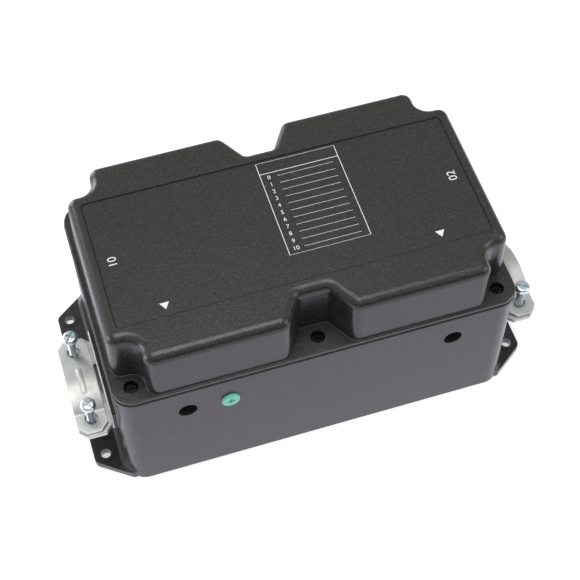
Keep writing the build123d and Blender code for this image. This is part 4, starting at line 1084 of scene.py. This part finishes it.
@dataclass
class MachineScrew:
    """Pan-head machine screw along +Z with a combined slot and cross, and a rolled thread.

    Args:
        name: Piece name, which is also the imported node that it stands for.
        head_r: Radius of the head.
        head_height: Height of the head.
        shank_r: Crest radius of the thread.
        length: From under the head to the tip.
        slot: Half width and depth of the long slot.
        cross: Half length, half width and depth of the short cross slot.
        pitch: Distance between the thread's crests.
        corner: Radius of the head's rounded upper edge.
        crown: How far the head's top falls from its middle to its rim.
        wall: Width that the steep walls of the slots take.
        collar: Plain length under the head, and the length in which the thread then starts.
        tip_share: Radius of the tip over the shank's.
    """

    name: str
    head_r: float = 5.0 * MM
    head_height: float = 3.6 * MM
    shank_r: float = 2.7 * MM
    length: float = 27.7 * MM
    slot: tuple[float, float] = (0.65 * MM, 2.0 * MM)
    cross: tuple[float, float, float] = (3.1 * MM, 0.75 * MM, 2.4 * MM)
    pitch: float = 1.05 * MM
    corner: float = 1.9 * MM
    crown: float = 0.35 * MM
    wall: float = 0.06 * MM
    collar: tuple[float, float] = (0.6 * MM, 1.2 * MM)
    tip_share: float = 0.72

    def head(self) -> Shape:
        """The head: z is the lower of H(r) and the slots' floors. H falls by the crown,
        crown (r / R)^2, and beyond r = R - c by 0.8 c (1 - sqrt(1 - ((r - (R - c)) / c)^2)), with
        R the head's radius and c the corner's. The slots are cut between neighbouring lines of
        the grid, which has one line on each edge of a slot and one a wall's width beyond."""
        lines = set(np.linspace(0.0, 1.0, 17).tolist())
        for edge in (self.slot[0], self.cross[0]):
            lines |= {edge / self.head_r, (edge + self.wall) / self.head_r}
        half = np.array(sorted(lines))
        keep = np.concatenate([[True], np.diff(half) > 0.3 * self.wall / self.head_r])
        half = half[keep]
        x, y, u, v = disc_grid(self.head_r, np.concatenate([-half[:0:-1], half]))
        r = np.hypot(x, y)
        over = np.clip((r - (self.head_r - self.corner)) / self.corner, 0.0, 1.0)
        fall = self.crown * (r / self.head_r) ** 2 + 0.8 * self.corner * (1 - np.sqrt(1 - over**2))
        z = self.head_height - fall
        reach = 0.5 * self.wall
        in_slot = np.abs(u) < self.slot[0] + reach
        in_cross = (np.abs(v) < self.cross[1] + reach) & (np.abs(u) < self.cross[0] + reach)
        floor = np.full_like(z, np.inf)
        floor[in_slot] = self.head_height - self.slot[1]
        floor[in_cross] = self.head_height - self.cross[2]
        z = np.minimum(z, floor)
        top = Shape.from_grid(np.stack([x, y, z], axis=-1))
        rim = rim_loop(np.stack([x, y, z], axis=-1))
        flat = rim * np.array([1.0, 1.0, 0.0])
        side = Shape.from_grid(np.stack([rim, flat, flat * 0.5, flat * 0.02]), wrap_columns=True)
        return top.joined(side)

    def shank(self) -> Shape:
        """The threaded shank as rings: r = crest - depth * (1 - |2 f - 1|), with f the fraction of
        z / pitch - angle / 2 pi. It starts from a plain collar and tapers over the last turns."""
        around, rows = 36, int(self.length / self.pitch * 8)
        z = np.linspace(0.4 * MM, -self.length, rows)[:, None]
        a = np.linspace(0.0, 2 * math.pi, around, endpoint=False)[None, :]
        f = (z / self.pitch - a / (2 * math.pi)) % 1.0
        depth = 0.5 * self.pitch
        r = self.shank_r - depth * (1 - np.abs(2 * f - 1))
        plain_r = self.shank_r - 0.4 * depth
        started = np.clip((-z - self.collar[0]) / self.collar[1], 0.0, 1.0)
        tip = np.clip((z + self.length) / (1.4 * self.pitch), 0.0, 1.0)
        r = r * started + plain_r * (1 - started)
        r = r * (self.tip_share + (1 - self.tip_share) * tip)
        rings = np.stack([r * np.cos(a), r * np.sin(a), np.broadcast_to(z, r.shape)], axis=-1)
        to_axis = np.array([0.0, 0.0, 1.0])
        closed = np.concatenate([rings[:1] * to_axis, rings, rings[-1:] * to_axis])
        return Shape.from_grid(closed, wrap_columns=True)

    def build(self, place: Vector, finish: Finish, body: str, slot: str, turn: float) -> None:
        """Stands the screw at a place, turned about its axis by some degrees."""
        whole = self.head().joined(self.shank())
        a = math.radians(turn)
        c, s = math.cos(a), math.sin(a)
        spin = np.array([[c, s, 0.0], [-s, c, 0.0], [0.0, 0.0, 1.0]])
        whole = Shape(whole.points @ spin + np.array(place), whole.faces)
        whole.build(f"{self.name}_threaded", finish, body, slot, (self.name,), sharp_degrees=50.0)


@dataclass
class ClampStrap:
    """Pressed clamp strap: an arch between two eight-sided ears, each with a clearance hole.

    The sheet is laid out flat, s along it and t across it, then bent: the height and the place
    along Y are read off a path that runs flat, up the arch and flat again, with eased folds.

    Args:
        side: -1 for the line end, 1 for the load end.
        centre: Middle of the strap, on the underside of its ears.
        width: Width of the sheet.
        half_length: From the middle to the end of an ear.
        fold: From the middle to the fold.
        rise: Height of the arch's underside over the ears'.
        thickness: Thickness of the sheet.
        hole_at: From the middle to a hole's axis.
        hole_r: Radius of a hole.
        corner: Cut off each corner of an ear.
        bead: Half length, half width and height of the pressed bead.
        bend: How far each fold is eased to either side.
        edge: Width of the rounding along the sheet's edges.
    """

    side: int
    centre: tuple[float, float, float]
    width: float = 19.5 * MM
    half_length: float = 35.6 * MM
    fold: float = 20.2 * MM
    rise: float = 7.0 * MM
    thickness: float = 2.3 * MM
    hole_at: float = 25.7 * MM
    hole_r: float = 4.2 * MM
    corner: float = 5.2 * MM
    bead: tuple[float, float, float] = (9.0 * MM, 1.3 * MM, 0.4 * MM)
    bend: float = 1.6 * MM
    edge: float = 0.35 * MM

    def arc(self) -> tuple[float, float]:
        """Radius of the arch, a circle through both folds: R = (fold^2 + rise^2) / (2 rise), and
        half the length of its arc, R asin(fold / R)."""
        radius = (self.fold**2 + self.rise**2) / (2 * self.rise)
        return radius, radius * math.asin(self.fold / radius)

    def path(self, s: np.ndarray) -> tuple[np.ndarray, np.ndarray]:
        """Place along Y and height of the sheet's underside at arc length s: (R sin a,
        R cos a - (R - rise)) on the arch, straight beyond it, with a running mean at the folds.

        Args:
            s: Arc lengths from the middle.

        Returns:
            y and z, one for each arc length.
        """
        radius, half_arc = self.arc()
        fine = np.linspace(-1.6 * self.half_length, 1.6 * self.half_length, 4001)
        on_arch = np.clip(fine, -half_arc, half_arc)
        y = radius * np.sin(on_arch / radius) + (fine - on_arch)
        z = radius * np.cos(on_arch / radius) - (radius - self.rise)
        window = max(int(2 * self.bend / (fine[1] - fine[0])), 1)
        kernel = np.ones(window) / window
        eased = [
            np.convolve(np.pad(v, window, mode="edge"), kernel, mode="same")[window:-window]
            for v in (y, z)
        ]
        return np.interp(s, fine, eased[0]), np.interp(s, fine, eased[1])

    def flat_pattern(self) -> Shape:
        """The sheet laid flat, as quads: a patch round each hole whose outer points lie on the
        ear's outline, and a grid between the folds that shares the fold's points."""
        half_arc = self.arc()[1]
        slack = half_arc - self.fold
        end, hole = self.half_length + slack, self.hole_at + slack
        half = self.width / 2
        t = np.linspace(-half, half, 33)
        n_side, n_cut, n_end = 14, 6, 10
        stops = [
            (half_arc, half),
            (end - self.corner, half),
            (end, half - self.corner),
            (end, self.corner - half),
            (end - self.corner, -half),
            (half_arc, -half),
        ]
        runs = [
            np.linspace(a, b, n, endpoint=False)
            for a, b, n in zip(stops, stops[1:], (n_side, n_cut, n_end, n_cut, n_side))
        ]
        outline = np.concatenate([np.stack([np.full_like(t, half_arc), t], axis=-1)[:-1], *runs])
        outline = np.column_stack([outline, np.zeros(len(outline))])
        middle = np.array([hole, 0.0, 0.0])
        away = outline - middle
        circle = away / np.linalg.norm(away, axis=1, keepdims=True) * self.hole_r + middle
        share = np.linspace(0.0, 1.0, 9)[:, None, None] ** 1.2
        ear = circle[None] * (1 - share) + outline[None] * share
        other_ear = ear[:, ::-1] * np.array([-1.0, 1.0, 1.0])
        s, t_grid = np.meshgrid(np.linspace(-half_arc, half_arc, 73), t, indexing="ij")
        arch = Shape.from_grid(np.stack([s, t_grid, np.zeros_like(s)], axis=-1))
        return arch.joined(
            Shape.from_grid(ear, wrap_columns=True), Shape.from_grid(other_ear, wrap_columns=True)
        )

    def build(self, name: str, finish: Finish, body: str) -> None:
        """Bends the pattern, presses the bead and gives the sheet its thickness."""
        sheet = self.flat_pattern()
        s, t, _ = sheet.points.T
        y, z = self.path(s)
        long, half, height = self.bead
        beyond = np.maximum(np.abs(s) - (long - half), 0.0)
        off = np.hypot(beyond, t) / (1.6 * half)
        z = z + height * np.where(off < 1, 0.5 + 0.5 * np.cos(math.pi * np.clip(off, 0, 1)), 0.0)
        x = t * self.side
        points = np.stack([x, y, z], axis=-1) + np.array(self.centre)
        piece = Shape(points, sheet.faces).build(
            f"{name}_pressed", finish, body, "plated_steel", (name,), merge_mm=0.01
        )
        upward = sum(p.normal.z * p.area for p in piece.data.polygons) > 0
        solid = piece.modifiers.new("sheet_thickness", "SOLIDIFY")
        solid.thickness, solid.use_even_offset = self.thickness, True
        solid.offset = 1.0 if upward else -1.0
        bevel = piece.modifiers.new("rolled_edges", "BEVEL")
        bevel.width, bevel.segments, bevel.limit_method = self.edge, 3, "ANGLE"
        bevel.angle_limit = math.radians(55)


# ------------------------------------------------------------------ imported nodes
@dataclass
class PackedNodes:
    """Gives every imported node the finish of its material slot.

    Args:
        nodes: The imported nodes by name.
    """

    nodes: dict[str, bpy.types.Object]

    def dress(self) -> None:
        """Reads each node's own slot name and puts the finish of that name on it."""
        for name, node in self.nodes.items():
            for slot in node.material_slots:
                key = slot.material.name.split(".")[0] if slot.material else ""
                if key in FINISH_OF_SLOT:
                    slot.material = FINISH_OF_SLOT[key].material()
            log.info("dressed %s", name)


# ------------------------------------------------------------------ contactor springs
@dataclass
class ReturnSprings:
    """The pair of compression springs under the contactor's armature.

    Args:
        middle_x: Place of both springs along X.
        middles_y: Places along Y.
        low_z: Lower end of the wire's middle line.
        high_z: Upper end of the wire's middle line.
        winding_r: Radius of the wire's middle line.
        wire_r: Radius of the wire.
        turns: Open turns between the closed end turns.
        foot_z: Not used; height that stays in place.
        travel: Not used; how far the armature comes down.
    """

    middle_x: float = -18.0 * MM
    middles_y: tuple[float, float] = (-27.3 * MM, 1.3 * MM)
    low_z: float = 39.01 * MM
    high_z: float = 53.09 * MM
    winding_r: float = 2.55 * MM
    wire_r: float = 0.45 * MM
    turns: float = 5.0
    foot_z: float = 38.5 * MM
    travel: float = 4.1 * MM

    def coil(self, middle_y: float) -> Shape:
        """One spring, a tube round the helix c(t) = middle + R (cos t, sin t) + z(t). Its z rises
        in proportion to t for three quarters and by a smoothstep for the rest, so the end turns
        lie flatter, and the wire's ring stands on the outward and the upward direction.

        Args:
            middle_y: Place of the spring along Y.

        Returns:
            The shape, with rounded-off wire ends.
        """
        share = np.linspace(0.0, 1.0, 181)
        t = 2 * math.pi * self.turns * share
        climb = 0.75 * share + 0.25 * share**2 * (3 - 2 * share)
        rise = self.low_z + (self.high_z - self.low_z) * climb
        taper = self.wire_r * np.clip(np.minimum(share, 1 - share) * 90, 0.05, 1.0)
        ring = np.linspace(0.0, 2 * math.pi, 11)[:-1]
        reach = self.winding_r + taper[:, None] * np.cos(ring)[None, :]
        grid = np.stack(
            [
                self.middle_x + reach * np.cos(t)[:, None],
                middle_y + reach * np.sin(t)[:, None],
                rise[:, None] + taper[:, None] * np.sin(ring)[None, :],
            ],
            axis=-1,
        )
        tube = Shape.from_grid(grid, wrap_columns=True)
        last, around = len(tube.points), len(ring)
        tube.faces += [list(range(around)), list(range(last - around, last))[::-1]]
        return tube

    def build(self) -> None:
        """Builds both springs as one piece."""
        front, rear = (self.coil(y) for y in self.middles_y)
        piece = front.joined(rear).build(
            "return_springs_wound", SPRING_STEEL, "housing", "spring_steel", ("return_springs",)
        )
        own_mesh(piece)


@dataclass
class ClampHardware:
    """Straps and screws of both cable clamps.

    Args:
        clamp_x: From the middle of the case to a strap's middle.
        clamp_y: Place of the cable's axis along Y.
        ear_z: Underside of the straps' ears.
        screw_pitch: Distance between the two screws of a clamp.
        head_z: Underside of the screw heads.
        turns: Turn of each screw's slot in degrees, line front, line rear, load front, load rear.
    """

    clamp_x: float = 146.65 * MM
    clamp_y: float = -27.5 * MM
    ear_z: float = 50.7 * MM
    screw_pitch: float = 51.4 * MM
    head_z: float = 69.7 * MM
    turns: tuple[float, float, float, float] = (25.0, -35.0, 60.0, 10.0)

    def build(self) -> None:
        """Builds the four screws and the two straps."""
        turn = iter(self.turns)
        for side, end in ((-1, "left"), (1, "right")):
            x = side * self.clamp_x
            for step, place in ((-1, "front"), (1, "rear")):
                name = f"{end}_{place}_clamp_screw"
                at = Vector((x, self.clamp_y + step * self.screw_pitch / 2, self.head_z))
                MachineScrew(name).build(at, SCREW_ZINC, name, "bright_zinc", next(turn))
            strap = ClampStrap(side, (x, self.clamp_y, self.ear_z))
            strap.build(f"{end}_clamp_strap", STRAP_STEEL, f"{end}_strap")


def main() -> None:
    """Builds the studio and every sub-assembly."""
    logging.basicConfig(level=logging.INFO, format="%(message)s")
    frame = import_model()
    Studio().build()
    PackedNodes(frame["nodes"]).dress()
    CoverPrint().build()
    ClampHardware().build()
    ReturnSprings().build()


if __name__ == "__main__":
    main()
